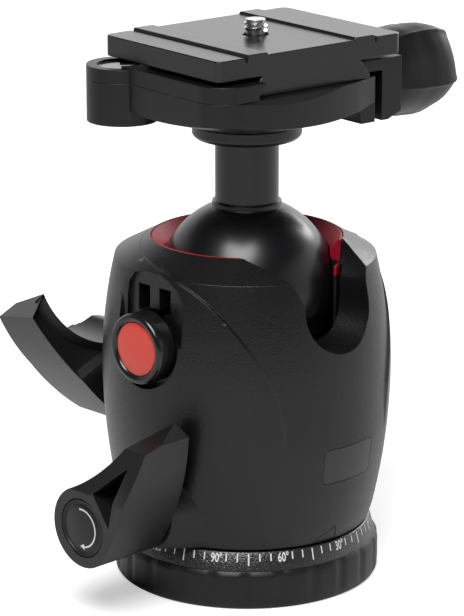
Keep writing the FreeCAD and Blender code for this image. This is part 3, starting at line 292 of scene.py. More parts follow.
# %% [markdown]
# The finishes. Each is named for what it is on the real head, and each gets the grain that the real one
# shows from close by: orange peel on the baked coat, a faint haze on anodised alloy, eroded mould grain on
# plastic. The grain is a bump, because it is far finer than any mesh. A Bevel node rounds the edges that
# the mesh leaves sharp, and a slow cloud keeps large faces from looking printed.

# %% How a finish is made
GRAIN_DETAIL = 2.0
GRAIN_ROUGH = 0.6
CLOUD_SIZE = 12 * MM
CLOUD_DETAIL = 3.0
CLOUD_ROUGH = 0.5
CLOUD_DEPTH = 0.08
CLOUD_DARK_AT = 0.3
CLOUD_PALE_AT = 0.7
EDGE_SAMPLES = 4
BLACK_TINT = (1.0, 1.0, 1.01)


def finish(name, colour, rough, grain, depth, spread=0.12, edge=0.3, **sockets):
    """A surface with a grain; grain, depth and edge are in mm, and spread is how far the gloss wanders."""
    made = Finish(name)
    peaks = made.noise(grain * MM, GRAIN_DETAIL, GRAIN_ROUGH)
    cloud = made.noise(CLOUD_SIZE, CLOUD_DETAIL, CLOUD_ROUGH)
    stops = [(CLOUD_DARK_AT, [part * (1 - CLOUD_DEPTH) for part in colour]),
             (CLOUD_PALE_AT, [part * (1 + CLOUD_DEPTH) for part in colour])]
    shade = made.node("ShaderNodeValToRGB", {"stops": stops}, {"Fac": cloud})
    round_edge = made.node("ShaderNodeBevel", {"samples": EDGE_SAMPLES}, {"Radius": edge * MM})
    relief = made.node("ShaderNodeBump", None, {"Height": peaks, "Distance": depth * MM, "Strength": 1.0,
                                                "Normal": round_edge})
    inputs = {"Base Color": shade, "Roughness": (peaks - 0.5) * spread + rough, "Normal": relief, **sockets}
    return made.surface(made.node("ShaderNodeBsdfPrincipled", None, inputs, "BSDF"))


def black(lightness):
    """A black of a given lightness, a trace cooler than grey."""
    return [lightness * part for part in BLACK_TINT]


# %% [markdown]
# The blacks differ in two ways that the eye picks up: how blurred the reflection is, which is the
# roughness, and how strong it is, which is the specular level. Bare metals share one turned haze.

# %% The finishes by slot
BARE_METAL = {"grain": 0.4, "depth": 0.004, "edge": 0.1, "Metallic": 1.0}


def shine(level):
    """The strength of a finish's reflection, where half is the usual."""
    return {"Specular IOR Level": level}


FINISHES = {
    "housing_coat": finish("housing_coat", black(0.004), 0.34, grain=0.5, depth=0.09, **shine(0.42)),
    "scale_coat": finish("scale_coat", black(0.008), 0.3, grain=0.6, depth=0.2, **shine(0.8)),
    "clamp_alloy": finish("clamp_alloy", black(0.003), 0.36, grain=0.3, depth=0.012, **shine(0.4)),
    "plate_anodised": finish("plate_anodised", black(0.009), 0.25, grain=0.5, depth=0.004, spread=0.06),
    "dark_alloy": finish("dark_alloy", black(0.004), 0.36, grain=0.5, depth=0.006),
    "ball_anodised": finish("ball_anodised", (0.003, 0.003, 0.004), 0.3, grain=0.6, depth=0.002,
                            spread=0.06),
    "lever_plastic": finish("lever_plastic", black(0.008), 0.36, grain=0.4, depth=0.04, **shine(0.45)),
    "cap_plastic": finish("cap_plastic", black(0.005), 0.4, grain=0.25, depth=0.01, **shine(0.4)),
    "grip_rubber": finish("grip_rubber", black(0.006), 0.42, grain=0.25, depth=0.01, **shine(0.35)),
    "knob_rubber": finish("knob_rubber", black(0.003), 0.4, grain=0.25, depth=0.01, **shine(0.35)),
    "dark_plastic": finish("dark_plastic", black(0.01), 0.55, grain=0.25, depth=0.01),
    "seat_plastic": finish("seat_plastic", black(0.01), 0.4, grain=0.25, depth=0.006),
    "label_black": finish("label_black", black(0.012), 0.34, grain=0.4, depth=0.004),
    "gloss_black": finish("gloss_black", black(0.008), 0.2, grain=0.4, depth=0.002, spread=0.05),
    "red_plastic": finish("red_plastic", (0.34, 0.006, 0.02), 0.5, grain=0.4, depth=0.004, **shine(0.25)),
    "red_disc": finish("red_disc", (0.58, 0.045, 0.03), 0.22, grain=0.4, depth=0.002, spread=0.05),
    "bright_steel": finish("bright_steel", (0.72, 0.72, 0.71), 0.24, **BARE_METAL),
    "steel": finish("steel", (0.55, 0.55, 0.56), 0.35, **BARE_METAL),
    "plain_alloy": finish("plain_alloy", (0.6, 0.6, 0.61), 0.4, **BARE_METAL),
    "brass": finish("brass", (0.7, 0.52, 0.24), 0.35, **BARE_METAL),
    "level_fluid": finish("level_fluid", (0.035, 0.045, 0.02), 0.15, grain=1.0, depth=0.0),
    "level_glass": finish("level_glass", (0.03, 0.036, 0.02), 0.1, grain=1.0, depth=0.0),
}
PRINT = finish("printed_marks", (0.62, 0.62, 0.6), 0.5, grain=0.3, depth=0.003, edge=0.02)
INK = finish("engraved_line", black(0.004), 0.6, grain=0.3, depth=0.002, edge=0.02)

SLOT_OF = {entry["node"]: entry["material_slot"] for entry in frame["record"]["subparts"]}
JOINTS = {joint["name"]: joint for joint in frame["record"]["behaviour"]["joints"]}
BODY_OF = {node: body for body, nodes in frame["record"]["behaviour"]["bodies"].items() for node in nodes}
for node, thing in frame["nodes"].items():
    thing.data.materials.clear()
    thing.data.materials.append(FINISHES[SLOT_OF[node]])
print(len(FINISHES), "finishes on", len(SLOT_OF), "nodes")

# %% [markdown]
# A few helpers make every piece. One hands a finished bmesh to the body that carries it, marks its sharp
# edges and, where asked, rounds them with a Bevel modifier, so that each edge catches light as a cast or
# moulded one does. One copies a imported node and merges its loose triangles. One turns a profile about a
# shaft, as a lathe does; a revolved curve would look the same, but the spin leaves a plain mesh that can
# be worked further.

# %% Making pieces
SHARP = radians(30)
ROUNDING_STEPS = 3
NEARLY_FLAT = radians(0.4)
COPY_MERGE = 0.002 * MM
SPIN_MERGE = 0.001 * MM


def finish_piece(name, bm, node, material=None, rounding=0.0, replaces=True):
    """Makes a piece of a bmesh, with its finish, its rounding in mm and its body, for a node."""
    for face in bm.faces:
        face.smooth = True
    for edge in bm.edges:
        edge.smooth = edge.calc_face_angle(0) < SHARP
    slot = SLOT_OF[node]
    made = add_object(name, bm, material or FINISHES[slot])
    if rounding:
        bevel = made.modifiers.new("rounded_edges", "BEVEL")
        bevel.width = rounding * MM
        bevel.segments = ROUNDING_STEPS
        bevel.limit_method = "ANGLE"
        bevel.angle_limit = SHARP
        bevel.harden_normals = True
        bevel.miter_outer = "MITER_ARC"
    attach(made, BODY_OF[node])
    if replaces:
        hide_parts(node)
    print(f"{name}: {len(made.data.polygons)} faces on the body {BODY_OF[node]}")


def merged_copy(node):
    """A bmesh of a node, with its doubles merged and its flat faces joined."""
    bm = bmesh.new()
    bm.from_mesh(frame["nodes"][node].data)
    bmesh.ops.remove_doubles(bm, verts=bm.verts, dist=COPY_MERGE)
    bmesh.ops.dissolve_limit(bm, angle_limit=NEARLY_FLAT, verts=bm.verts, edges=bm.edges)
    return bm


def turned_mesh(profile, steps, centre=(0, 0, 0), axis=(0, 0, 1), across=(1, 0, 0)):
    """A bmesh of (radius, height) points turned about an axis; the profile runs from bottom to top."""
    axis = Vector(axis)
    across = Vector(across)
    bm = bmesh.new()
    line = [bm.verts.new(Vector(centre) + across * radius + axis * height) for radius, height in profile]
    edges = [bm.edges.new(pair) for pair in zip(line, line[1:])]
    bmesh.ops.spin(bm, geom=line + edges, cent=centre, axis=axis, angle=tau, steps=steps, use_merge=True)
    bmesh.ops.remove_doubles(bm, verts=bm.verts, dist=SPIN_MERGE)
    bmesh.ops.recalc_face_normals(bm, faces=bm.faces)
    return bm


def arc(centre_radius, centre_height, radius, start, end, steps):
    """Profile points on an arc, with angles counted from the outward direction."""
    turns = [start + (end - start) * step / steps for step in range(steps + 1)]
    return [(centre_radius + radius * cos(turn), centre_height + radius * sin(turn)) for turn in turns]


def middle_of(low, high):
    """The middle of a box."""
    return (Vector(low) + Vector(high)) / 2


# %% [markdown]
# Two hollows in the barrel are carved here. The notch's near side leans back from its foot to the rim,
# and one rounded recess holds both slots above the selector's button. Each is a prism, extruded from a
# flat outline, that a Boolean takes away from a copy of the node; carving by hand would leave no crisp
# edge for the Bevel modifier to round.

# %% Carving tools
# The outlines are in mm, as places across and up for the side, and along X and up for the recess.
NEAR_SIDE = [(-7.0, 70.0), (-8.8, 71.5), (-11.1, 78.6), (-14.4, 86.4), (-18.9, 92.0), (-7.0, 92.0)]
NEAR_SIDE_STARTS = 12
NEAR_SIDE_ENDS = 42
RECESS = [(-9.2, 70.0), (-8.9, 80.0), (-8.2, 84.0), (-6.4, 86.4), (-3.6, 87.2), (2.4, 87.2), (5.8, 86.4),
          (8.8, 84.4), (10.8, 81.6), (11.8, 77.8), (11.9, 70.0)]
RECESS_FLOOR = -33.2
RECESS_OUTSIDE = -44.0

near_side = ([(NEAR_SIDE_STARTS, y, z) for y, z in NEAR_SIDE], (NEAR_SIDE_ENDS - NEAR_SIDE_STARTS, 0, 0))
recess = ([(x, RECESS_FLOOR, z) for x, z in RECESS], (0, RECESS_OUTSIDE - RECESS_FLOOR, 0))
CUTS = {"housing": [near_side, recess], "red_ring": [near_side], "upper_seat": [near_side]}


def cut_away(bm, outline, depth):
    """Cuts a prism out of a bmesh; its outline and its depth are in mm."""
    block = bmesh.new()
    face = block.faces.new([block.verts.new(Vector(place) * MM) for place in outline])
    move_extruded(block, bmesh.ops.extrude_face_region(block, geom=[face])["geom"], Vector(depth) * MM)
    bmesh.ops.recalc_face_normals(block, faces=block.faces)
    cutter = add_object("cutter", block)
    whole = add_object("whole", bm)
    cutting = whole.modifiers.new("cut", "BOOLEAN")
    cutting.object = cutter
    cutting.solver = "EXACT"
    cutting.operation = "DIFFERENCE"
    result = bmesh.new()
    result.from_mesh(whole.evaluated_get(bpy.context.evaluated_depsgraph_get()).to_mesh())
    for thing in (whole, cutter):
        bpy.data.objects.remove(thing)
    return result


# %% [markdown]
# The cast, milled and moulded pieces keep the shape that the frame gives them and gain rounded edges. The
# radii follow the making: about a third of a millimetre where an edge is milled and broken, and close to
# a millimetre where the piece is cast or moulded.

# %% Rounded copies
ROUNDINGS = {
    "housing": 0.5, "label_plate": 0.3, "pan_lever": 0.9, "friction_dial": 0.3,
    "clamp_body": 0.9, "clamp_rail": 0.3, "clamp_jaw": 0.5, "quick_plate": 0.3,
    "portrait_stop": 0.2, "red_ring": 0.2, "clamp_collar": 0.4, "upper_seat": 0.2, "level_vial": 0.2,
}

for node, rounding in ROUNDINGS.items():
    bm = merged_copy(node)
    for outline, depth in CUTS.get(node, []):
        bm = cut_away(bm, outline, depth)
    finish_piece(node + "_rounded", bm, node, rounding=rounding)

# %% [markdown]
# The main lever is a moulding whose wing sweeps up in a hollow curve, with a pocket in the side that faces
# the barrel. It is drawn as a flat contour, extruded, and then each cap is laid on its own slope: level
# over the hub and leaning over the wing. An inset of the wing's cap, pushed in, makes the pocket.

# %% The main lever's contour
HUB_RADIUS = 13.2 * MM
HUB_LENGTH = 21.0 * MM
HUB_FOOT = -50
HUB_SHOULDER = 115
HUB_STEP = 8
TIP_ACROSS = 22.5 * MM
TIP_UP = 33.3 * MM
TIP_THICK = 7.4 * MM
TIP_SHARE_ACROSS = 0.89
TIP_SHARE_UP = 0.45
HOLLOW_RADIUS = 21.5 * MM
BELLY_RADIUS = 2.2 * hypot(TIP_ACROSS, TIP_UP)
ARC_STEPS = 20


def on_hub(degrees):
    """A point on the hub's edge."""
    return Vector((HUB_RADIUS * cos(radians(degrees)), HUB_RADIUS * sin(radians(degrees))))


def arc_between(start, end, radius, bulge):
    """Places from one point up to another on an arc that bulges to the right (1) or to the left (-1)."""
    chord = end - start
    side = Vector((chord.y, -chord.x)).normalized() * bulge
    centre = (start + end) / 2 - side * sqrt(radius ** 2 - (chord.length / 2) ** 2)
    spokes = [start.lerp(end, step / ARC_STEPS) - centre for step in range(ARC_STEPS)]
    return [centre + spoke.normalized() * radius for spoke in spokes]


tip = Vector((TIP_ACROSS, TIP_UP))
tip_top = tip + Vector((-TIP_THICK * TIP_SHARE_ACROSS, TIP_THICK * TIP_SHARE_UP))
contour = arc_between(on_hub(HUB_FOOT), tip, BELLY_RADIUS, 1) + [tip]
contour += arc_between(tip_top, on_hub(HUB_SHOULDER), HOLLOW_RADIUS, -1)
contour += [on_hub(degrees) for degrees in range(HUB_SHOULDER, HUB_FOOT + 360, HUB_STEP)]
print("lever contour of", len(contour), "points")

# %% [markdown]
# The two caps start as flat copies of the contour. A cut across each, close above the hub, gives the
# slope a line to start from. The far corner of the tip drops a little more, as the moulding rounds it off.

# %% The main lever
FRONT_SLOPE_FROM = HUB_RADIUS * 0.9
BACK_SLOPE_FROM = HUB_RADIUS * 0.8
POCKET_FROM = HUB_RADIUS * 0.95
FACES_BARREL = -0.5
TIP_FRONT = 22.0 * MM
TIP_BACK = 7.5 * MM
TIP_DROP = 3.8 * MM
FAR_CORNER_DROP = 2.8 * MM
POCKET_WALL = 2.0 * MM
POCKET_DEPTH = 2.4 * MM
WING_LEAN = radians(22)
LEVER_ROUNDING = 0.8


def climb(place, start, end, low_value, high_value):
    """A value that climbs evenly between two places and stays level outside them."""
    part = min(max((place - start) / (end - start), 0), 1)
    return low_value + (high_value - low_value) * part


bm = bmesh.new()
back = bm.faces.new([bm.verts.new((*place, 0)) for place in contour])
move_extruded(bm, bmesh.ops.extrude_face_region(bm, geom=[back])["geom"], (0, 0, HUB_LENGTH))
for crease in (BACK_SLOPE_FROM, FRONT_SLOPE_FROM):
    bmesh.ops.bisect_plane(bm, geom=bm.verts[:] + bm.edges[:] + bm.faces[:], plane_co=(0, crease, 0),
                           plane_no=(0, 1, 0))
for vert in bm.verts:
    if vert.co.z > HUB_LENGTH / 2:
        vert.co.z = climb(vert.co.y, FRONT_SLOPE_FROM, tip_top.y, HUB_LENGTH, TIP_FRONT)
        vert.co.y -= (climb(vert.co.y, FRONT_SLOPE_FROM, tip_top.y, 0, TIP_DROP)
                      + climb(vert.co.y, TIP_UP, tip_top.y, 0, FAR_CORNER_DROP))
    else:
        vert.co.z = climb(vert.co.y, BACK_SLOPE_FROM, tip_top.y, 0, TIP_BACK)
bmesh.ops.recalc_face_normals(bm, faces=bm.faces)
wing = [face for face in bm.faces
        if face.normal.z < FACES_BARREL and face.calc_center_median().y > POCKET_FROM]
bmesh.ops.inset_region(bm, faces=wing, thickness=POCKET_WALL, depth=-POCKET_DEPTH, use_even_offset=True)

hub_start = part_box("main_lever")[1][0]
hub_height = JOINTS["main_lever_turn"]["pos_m"][2]
for vert in bm.verts:
    across, up, out = vert.co
    vert.co = (hub_start - out, -(across * cos(WING_LEAN) + up * sin(WING_LEAN)),
               hub_height - across * sin(WING_LEAN) + up * cos(WING_LEAN))
bmesh.ops.recalc_face_normals(bm, faces=bm.faces)
finish_piece("swept_lever", bm, "main_lever", rounding=LEVER_ROUNDING)

# %% [markdown]
# The clamp's knob is moulded with five pointed ridges and hollows between them. A turned blank is drawn
# first; then each of its points is moved towards the axis by the hollow's depth at its angle, which grows
# from nothing at the neck. A cutter for each hollow would leave a flat ridge instead of a pointed one.

# %% The ridged knob
# Each point of the profile is a radius in mm and a share of the knob's length.
KNOB_PROFILE = [(2.6, 0.0), (9.6, 0.0), (9.6, 0.12), (10.4, 0.22), (12.2, 0.38), (13.2, 0.55), (13.55, 0.74),
                (13.3, 0.85), (12.6, 0.94), (11.2, 1.0), (2.6, 1.0)]
KNOB_STEPS = 200
KNOB_NECK_REACH = 9.6 * MM
KNOB_BOTH_REACH = 20 * MM
KNOB_CORE = 8 * MM
LONG_EDGE = 3 * MM
RIDGES = 5
RIDGE_TURN = radians(-14)
HOLLOW_DEPTH = 1.9 * MM
HOLLOW_START = 0.15
HOLLOW_FULL = 0.6
HOLLOW_ROUNDNESS = 0.4

along = Vector(JOINTS["knob_turn"]["axis"]).normalized()
pivot = Vector(JOINTS["knob_turn"]["pos_m"])
up = Vector((0, 0, 1))
across = along.cross(up).normalized()

# The axis is turned a little from Y, so the box is longer than the knob by what its two ends reach.
low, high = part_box("clamp_knob")
knob_start = (low[1] - pivot.y) / along.y + KNOB_NECK_REACH * abs(along.x)
knob_length = (high[1] - low[1]) / along.y - KNOB_BOTH_REACH * abs(along.x)
hollow_start = knob_start + HOLLOW_START * knob_length
hollow_full = knob_start + HOLLOW_FULL * knob_length
profile = [(radius * MM, knob_start + part * knob_length) for radius, part in KNOB_PROFILE]
bm = turned_mesh(profile, KNOB_STEPS, pivot, along, across)
bmesh.ops.subdivide_edges(bm, edges=[edge for edge in bm.edges if edge.calc_length() > LONG_EDGE], cuts=2)
for vert in bm.verts:
    spoke = vert.co - pivot
    height = spoke.dot(along)
    spoke -= along * height
    place = (atan2(spoke.dot(up), spoke.dot(across)) - RIDGE_TURN) * RIDGES / tau
    wave = sin((place % 1) * pi) ** HOLLOW_ROUNDNESS
    if spoke.length > KNOB_CORE:
        vert.co -= spoke.normalized() * HOLLOW_DEPTH * wave * climb(height, hollow_start, hollow_full, 0, 1)
finish_piece("ridged_knob", bm, "clamp_knob")

# %% [markdown]
# The ball and its neck are turned from one bar and anodised. The ball has to be far smoother than a
# converted solid, because its single highlight shows every facet, so it is turned again here. Its size is
# read from the frame, and a small fillet leads from the ball into the step at the neck's root.

# %% The ball and neck
STEM_STEPS = 192
BALL_ARC_STEPS = 72
FILLET_STEPS = 4
ROOT_STEP = 0.8 * MM
ROOT_FILLET = 0.5 * MM
STEP_TALL = 1.3 * MM
STEP_ROUND = 0.25 * MM
NECK_BLEND = 0.2 * MM
NECK_FROM = 1.8 * MM
AT_TOP = 0.1 * MM

low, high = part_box("ball_stem")
ball_radius = (high[0] - low[0]) / 2
ball_centre = low[2] + ball_radius
stem = frame["nodes"]["ball_stem"].data
neck_radius = max(hypot(v.co.x, v.co.y) for v in stem.vertices if v.co.z > high[2] - AT_TOP)
root_radius = neck_radius + ROOT_STEP
root_turn = pi / 2 - asin((root_radius + ROOT_FILLET) / ball_radius)
root_height = ball_centre + ball_radius * sin(root_turn)
profile = arc(0, ball_centre, ball_radius, -pi / 2, root_turn, BALL_ARC_STEPS)
profile += arc(root_radius + ROOT_FILLET, root_height + ROOT_FILLET, ROOT_FILLET, -pi / 2, -pi, FILLET_STEPS)
profile += arc(root_radius - STEP_ROUND, root_height + STEP_TALL, STEP_ROUND, 0, pi / 2, FILLET_STEPS)
profile += [(neck_radius + NECK_BLEND, root_height + STEP_TALL + STEP_ROUND),
            (neck_radius, root_height + NECK_FROM), (neck_radius, high[2]), (0, high[2])]
print(f"ball of {ball_radius * 2 / MM:.1f} mm on a neck of {neck_radius * 2 / MM:.1f} mm")
finish_piece("ball_and_neck", turned_mesh(profile, STEM_STEPS), "ball_stem")

# %% [markdown]
# The degree ring is a coated ring with its marks printed on a face that leans back slightly. It is turned
# from a profile whose slope is read from the frame, with a small broken edge at the top.

# %% The degree ring
RING_STEPS = 192
RING_EDGE = 0.25 * MM
RING_TOP_BAND = 0.05 * MM

low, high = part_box("scale_ring")
ring = frame["nodes"]["scale_ring"].data
ring_top = max(hypot(v.co.x, v.co.y) for v in ring.vertices if v.co.z > high[2] - RING_TOP_BAND)
ring_foot = high[0]
ring_bore = min(hypot(v.co.x, v.co.y) for v in ring.vertices)
ring_lean = atan2(ring_foot - ring_top, high[2] - low[2])
ring_high = high[2]
profile = [(ring_bore, low[2]), (ring_foot, low[2]),
           (ring_top + RING_EDGE * sin(ring_lean), ring_high - RING_EDGE),
           (ring_top - RING_EDGE / 3, ring_high - RING_EDGE / 3), (ring_top - RING_EDGE, ring_high),
           (ring_bore, ring_high), (ring_bore, low[2])]
finish_piece("degree_ring", turned_mesh(profile, RING_STEPS), "scale_ring")

# %% [markdown]
# Every fifth degree has a short tick and every fifteenth a long one, but each thirtieth has a number
# instead. The numbers are text, turned into a mesh and then rolled onto the ring, vertex by vertex. A
# Shrinkwrap modifier could lay them on, but this keeps their height and their upright strokes true.

# %% The degree marks
ZERO_AT = radians(31)
EVERY_TICK = 5
EVERY_LONG_TICK = 15
EVERY_NUMBER = 30
TICK_WIDE = 0.36 * MM
TICK_SHORT = 2.0 * MM
TICK_LONG = 3.1 * MM
MARKS_START = 0.35 * MM
MARKS_PROUD = 0.03 * MM
NUMBER_TALL = 2.3 * MM
NUMBER_NARROW = 0.66
NUMBER_BOLD = 0.03
DIGIT_SHARE = 0.7
BELOW_DEGREE_SIGN = 0.3
LETTER_STEPS = 4


def on_ring(turn, down):
    """A point a little proud of the ring's face, at a model angle and a way down from its top edge."""
    radius = ring_top + down * sin(ring_lean) + MARKS_PROUD
    return Vector((radius * cos(turn), radius * sin(turn), ring_high - down * cos(ring_lean)))


def number_mesh(text):
    """A bmesh of bold, narrow, flat text, centred on its digits without the degree sign."""
    curve = bpy.data.curves.new("number", "FONT")
    curve.body = text
    curve.size = NUMBER_TALL / DIGIT_SHARE
    curve.offset = NUMBER_TALL * NUMBER_BOLD
    curve.resolution_u = LETTER_STEPS
    writing = bpy.data.objects.new("number", curve)
    bpy.context.scene.collection.objects.link(writing)
    flat = bpy.data.meshes.new_from_object(writing.evaluated_get(bpy.context.evaluated_depsgraph_get()))
    bpy.data.objects.remove(writing)
    bm = bmesh.new()
    bm.from_mesh(flat)
    digits = [v.co.x for v in bm.verts if v.co.y < NUMBER_TALL * BELOW_DEGREE_SIGN]
    middle = (min(digits) + max(digits)) / 2
    for vert in bm.verts:
        vert.co.x = (vert.co.x - middle) * NUMBER_NARROW
    return bm


def add_number(marks, degree, turn):
    """Rolls a number onto the ring."""
    writing = number_mesh(f"{degree}°")
    for vert in writing.verts:
        vert.co = on_ring(turn + vert.co.x / ring_top, MARKS_START + NUMBER_TALL - vert.co.y)
    rolled = bpy.data.meshes.new("rolled_number")
    writing.to_mesh(rolled)
    writing.free()
    marks.from_mesh(rolled)


def flat_patch(bm, corners):
    """A small flat face between given points."""
    bm.faces.new([bm.verts.new(corner) for corner in corners])


def add_tick(marks, tall, turn):
    """Lays a tick on the ring."""
    half = TICK_WIDE / 2 / ring_top
    flat_patch(marks, [on_ring(turn - half, MARKS_START + tall), on_ring(turn + half, MARKS_START + tall),
                       on_ring(turn + half, MARKS_START), on_ring(turn - half, MARKS_START)])


marks = bmesh.new()
for degree in range(0, 360, EVERY_TICK):
    turn = ZERO_AT - radians(degree)
    if degree % EVERY_NUMBER == 0:
        add_number(marks, degree, turn)
    else:
        add_tick(marks, TICK_SHORT if degree % EVERY_LONG_TICK else TICK_LONG, turn)
finish_piece("degree_marks", marks, "scale_ring", PRINT, replaces=False)

# %% [markdown]
# The grip ring is rubber, moulded with shallow flutes for the fingers. A lathe profile is spun first, and
# then each vertex is drawn in by a wave of its angle, which leaves flutes with soft shoulders. They are
# so shallow that they show mainly where they meet the chamfer and make its edge wavy.

# %% The grip ring
# Each point of the two rounded ends is a way in from the outside and a way from the end, in mm.
GRIP_FOOT = [(1.0, 0.0), (0.5, 0.3), (0.1, 1.0), (0.0, 3.2)]
GRIP_HEAD = [(0.0, 1.6), (0.15, 0.9), (0.9, 0.05)]
FLUTES = 24
FLUTE_DEPTH = 0.45 * MM
FLUTE_BAND = 0.6 * MM
FLUTE_FROM = 2.0 * MM
STEPS_FOR_FLUTE = 16

low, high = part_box("base_grip_ring")
grip_radius = high[0]
grip_bore = min(hypot(v.co.x, v.co.y) for v in frame["nodes"]["base_grip_ring"].data.vertices)
profile = [(grip_bore, low[2])]
profile += [(grip_radius - inside * MM, low[2] + height * MM) for inside, height in GRIP_FOOT]
profile += [(grip_radius - inside * MM, high[2] - depth * MM) for inside, depth in GRIP_HEAD]
profile += [(grip_bore, profile[-1][1]), (grip_bore, low[2])]
grip = turned_mesh(profile, STEPS_FOR_FLUTE * FLUTES)
for vert in grip.verts:
    reach = hypot(vert.co.x, vert.co.y)
    if reach > grip_radius - FLUTE_BAND and vert.co.z > low[2] + FLUTE_FROM:
        wave = max(0.0, cos(FLUTES * atan2(vert.co.y, vert.co.x))) ** 2
        vert.co.x *= 1 - wave * FLUTE_DEPTH / reach
        vert.co.y *= 1 - wave * FLUTE_DEPTH / reach
finish_piece("fluted_grip", grip, "base_grip_ring")

# %% [markdown]
# The pan lever's end carries a plain plastic cap with a turned groove near its edge. The profile runs
# from the middle of the face outwards, down into the groove and over the rim.

# %% The lever's cap
# Each point is a way in from the cap's edge and a way out from its face, in mm.
CAP_PROFILE = [(1.9, 0.0), (1.6, -0.1), (1.3, -0.35), (0.8, -0.35), (0.55, -0.05), (0.2, 0.0), (0.0, -0.2),
               (0.0, -1.9)]
CAP_STEPS = 96
TO_FRONT = (0, -1, 0)

low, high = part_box("pan_lever_cap")
cap_radius = (high[0] - low[0]) / 2
cap_middle = middle_of(low, high)
cap_middle.y = low[1]
profile = [(0, 0)] + [(cap_radius - inside * MM, out * MM) for inside, out in CAP_PROFILE]
profile += [(0, profile[-1][1])]
finish_piece("grooved_cap", turned_mesh(profile, CAP_STEPS, cap_middle, TO_FRONT), "pan_lever_cap")

# %% [markdown]
# A pale arrow round the cap shows which way the lever locks. It is printed, so here it is a short line
# that is spun about the cap's middle into a thin strip, and a small head.

# %% The arrow on the cap
ARROW_RADIUS = cap_radius - 2.6 * MM
ARROW_WIDE = 0.45 * MM
ARROW_FROM = radians(100)
ARROW_TO = radians(-80)
ARROW_STEPS = 40
ARROW_PROUD = 0.04 * MM
ARROW_HEAD_LONG = 1.6 * MM
ARROW_HEAD_HALF = 0.8 * MM


def on_cap(radius, turn):
    """A point a little proud of the cap, at an angle counted from +X towards +Z."""
    return cap_middle + Vector((radius * cos(turn), -ARROW_PROUD, radius * sin(turn)))


bm = bmesh.new()
stroke = [bm.verts.new(on_cap(ARROW_RADIUS + side * ARROW_WIDE / 2, ARROW_FROM)) for side in (-1, 1)]
edge = bm.edges.new(stroke)
bmesh.ops.spin(bm, geom=stroke + [edge], cent=cap_middle, axis=(0, 1, 0), angle=ARROW_FROM - ARROW_TO,
               steps=ARROW_STEPS)
flat_patch(bm, [on_cap(ARROW_RADIUS - ARROW_HEAD_HALF, ARROW_TO),
                on_cap(ARROW_RADIUS + ARROW_HEAD_HALF, ARROW_TO),
                on_cap(ARROW_RADIUS, ARROW_TO - ARROW_HEAD_LONG / ARROW_RADIUS)])
bmesh.ops.recalc_face_normals(bm, faces=bm.faces)
finish_piece("lock_arrow", bm, "pan_lever_cap", PRINT, replaces=False)

# %% [markdown]
# The selector is a round button with a rolled rim, and its head and shaft are one turned profile, so the
# rim's highlight runs round it without a break. The head's thickness and the shaft's radius are measured
# on the frame.

# %% The selector button
BUTTON_STEPS = 96
BUTTON_EDGE = 0.3 * MM
RIM_STEPS = 12
RIM_STARTS = pi * 0.86
RIM_INSIDE = 0.6
DISC_SEAT = 1.2 * MM
HEAD_BAND = 0.5 * MM
SHAFT_END = 0.1 * MM

low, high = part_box("selector_button")
button_radius = (high[0] - low[0]) / 2
button_middle = middle_of(low, high)
button_middle.y = low[1]
button_end = low[1] - high[1]
disc_low, disc_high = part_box("selector_disc")
disc_radius = (disc_high[0] - disc_low[0]) / 2
rim = (button_radius - disc_radius) / 2


def from_middle(vert):
    """How far a vertex of the button is from its axis."""
    return hypot(vert.co.x - button_middle.x, vert.co.z - button_middle.z)


button = frame["nodes"]["selector_button"].data.vertices
head_back = max(v.co.y for v in button if from_middle(v) > button_radius - HEAD_BAND) - low[1]
shaft_radius = max(from_middle(v) for v in button if v.co.y > high[1] - SHAFT_END)
profile = [(0, -DISC_SEAT), (disc_radius, -DISC_SEAT), (disc_radius, -rim * RIM_INSIDE)]
profile += arc(disc_radius + rim, -rim, rim, RIM_STARTS, 0, RIM_STEPS)
profile += [(button_radius, -head_back + BUTTON_EDGE), (button_radius - BUTTON_EDGE, -head_back),
            (shaft_radius, -head_back), (shaft_radius, button_end), (0, button_end)]
finish_piece("rimmed_button", turned_mesh(profile, BUTTON_STEPS, button_middle, TO_FRONT), "selector_button")

# %% [markdown]
# A red disc is set into the button's face. It is slightly domed, so that its light changes across it, and
# it stays clear of the rim by a hair, as a disc that is glued in does.

# %% The red disc
DOME = 0.45 * MM
DOME_PARTS = (0, 0.2, 0.4, 0.6, 0.8, 0.95)
DISC_LOW = 0.05 * MM
DISC_CLEAR = 0.05 * MM
DISC_EDGE_LOW = 0.1 * MM
DISC_BACK = 1.1 * MM

disc_face = disc_low[1] - low[1]
profile = [(disc_radius * part, -disc_face - DOME * part * part - DISC_LOW) for part in DOME_PARTS]
disc_edge = disc_radius - DISC_CLEAR
profile += [(disc_edge, -disc_face - DOME - DISC_EDGE_LOW), (disc_edge, -DISC_BACK), (0, -DISC_BACK)]
finish_piece("domed_disc", turned_mesh(profile, BUTTON_STEPS, button_middle, TO_FRONT), "selector_disc")

# %% [markdown]
# The camera screw is a quarter-inch screw, whose thread shows as a few bright turns above the plate. Its
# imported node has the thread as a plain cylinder, so a copy is drawn in to the thread's root first.

# %% The camera screw's core
PITCH = 1.27 * MM
THREAD_DEPTH = 0.6 * MM
THREAD_TALL = 3.8 * MM
RELIEF_TALL = 1.0 * MM
SCREW_TOP_BAND = 1.5 * MM

low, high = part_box("camera_screw")
screw = frame["nodes"]["camera_screw"].data
screw_middle = middle_of(low, high)
screw_middle.z = 0
thread_radius = max((v.co.xy - screw_middle.xy).length for v in screw.vertices
                    if v.co.z >= high[2] - SCREW_TOP_BAND)
core_radius = thread_radius - THREAD_DEPTH
bm = merged_copy("camera_screw")
for vert in bm.verts:
    reach = (vert.co.xy - screw_middle.xy).length
    if vert.co.z > high[2] - THREAD_TALL - RELIEF_TALL and reach > core_radius:
        vert.co.xy = screw_middle.xy + (vert.co.xy - screw_middle.xy) * core_radius / reach
finish_piece("screw_core", bm, "camera_screw")

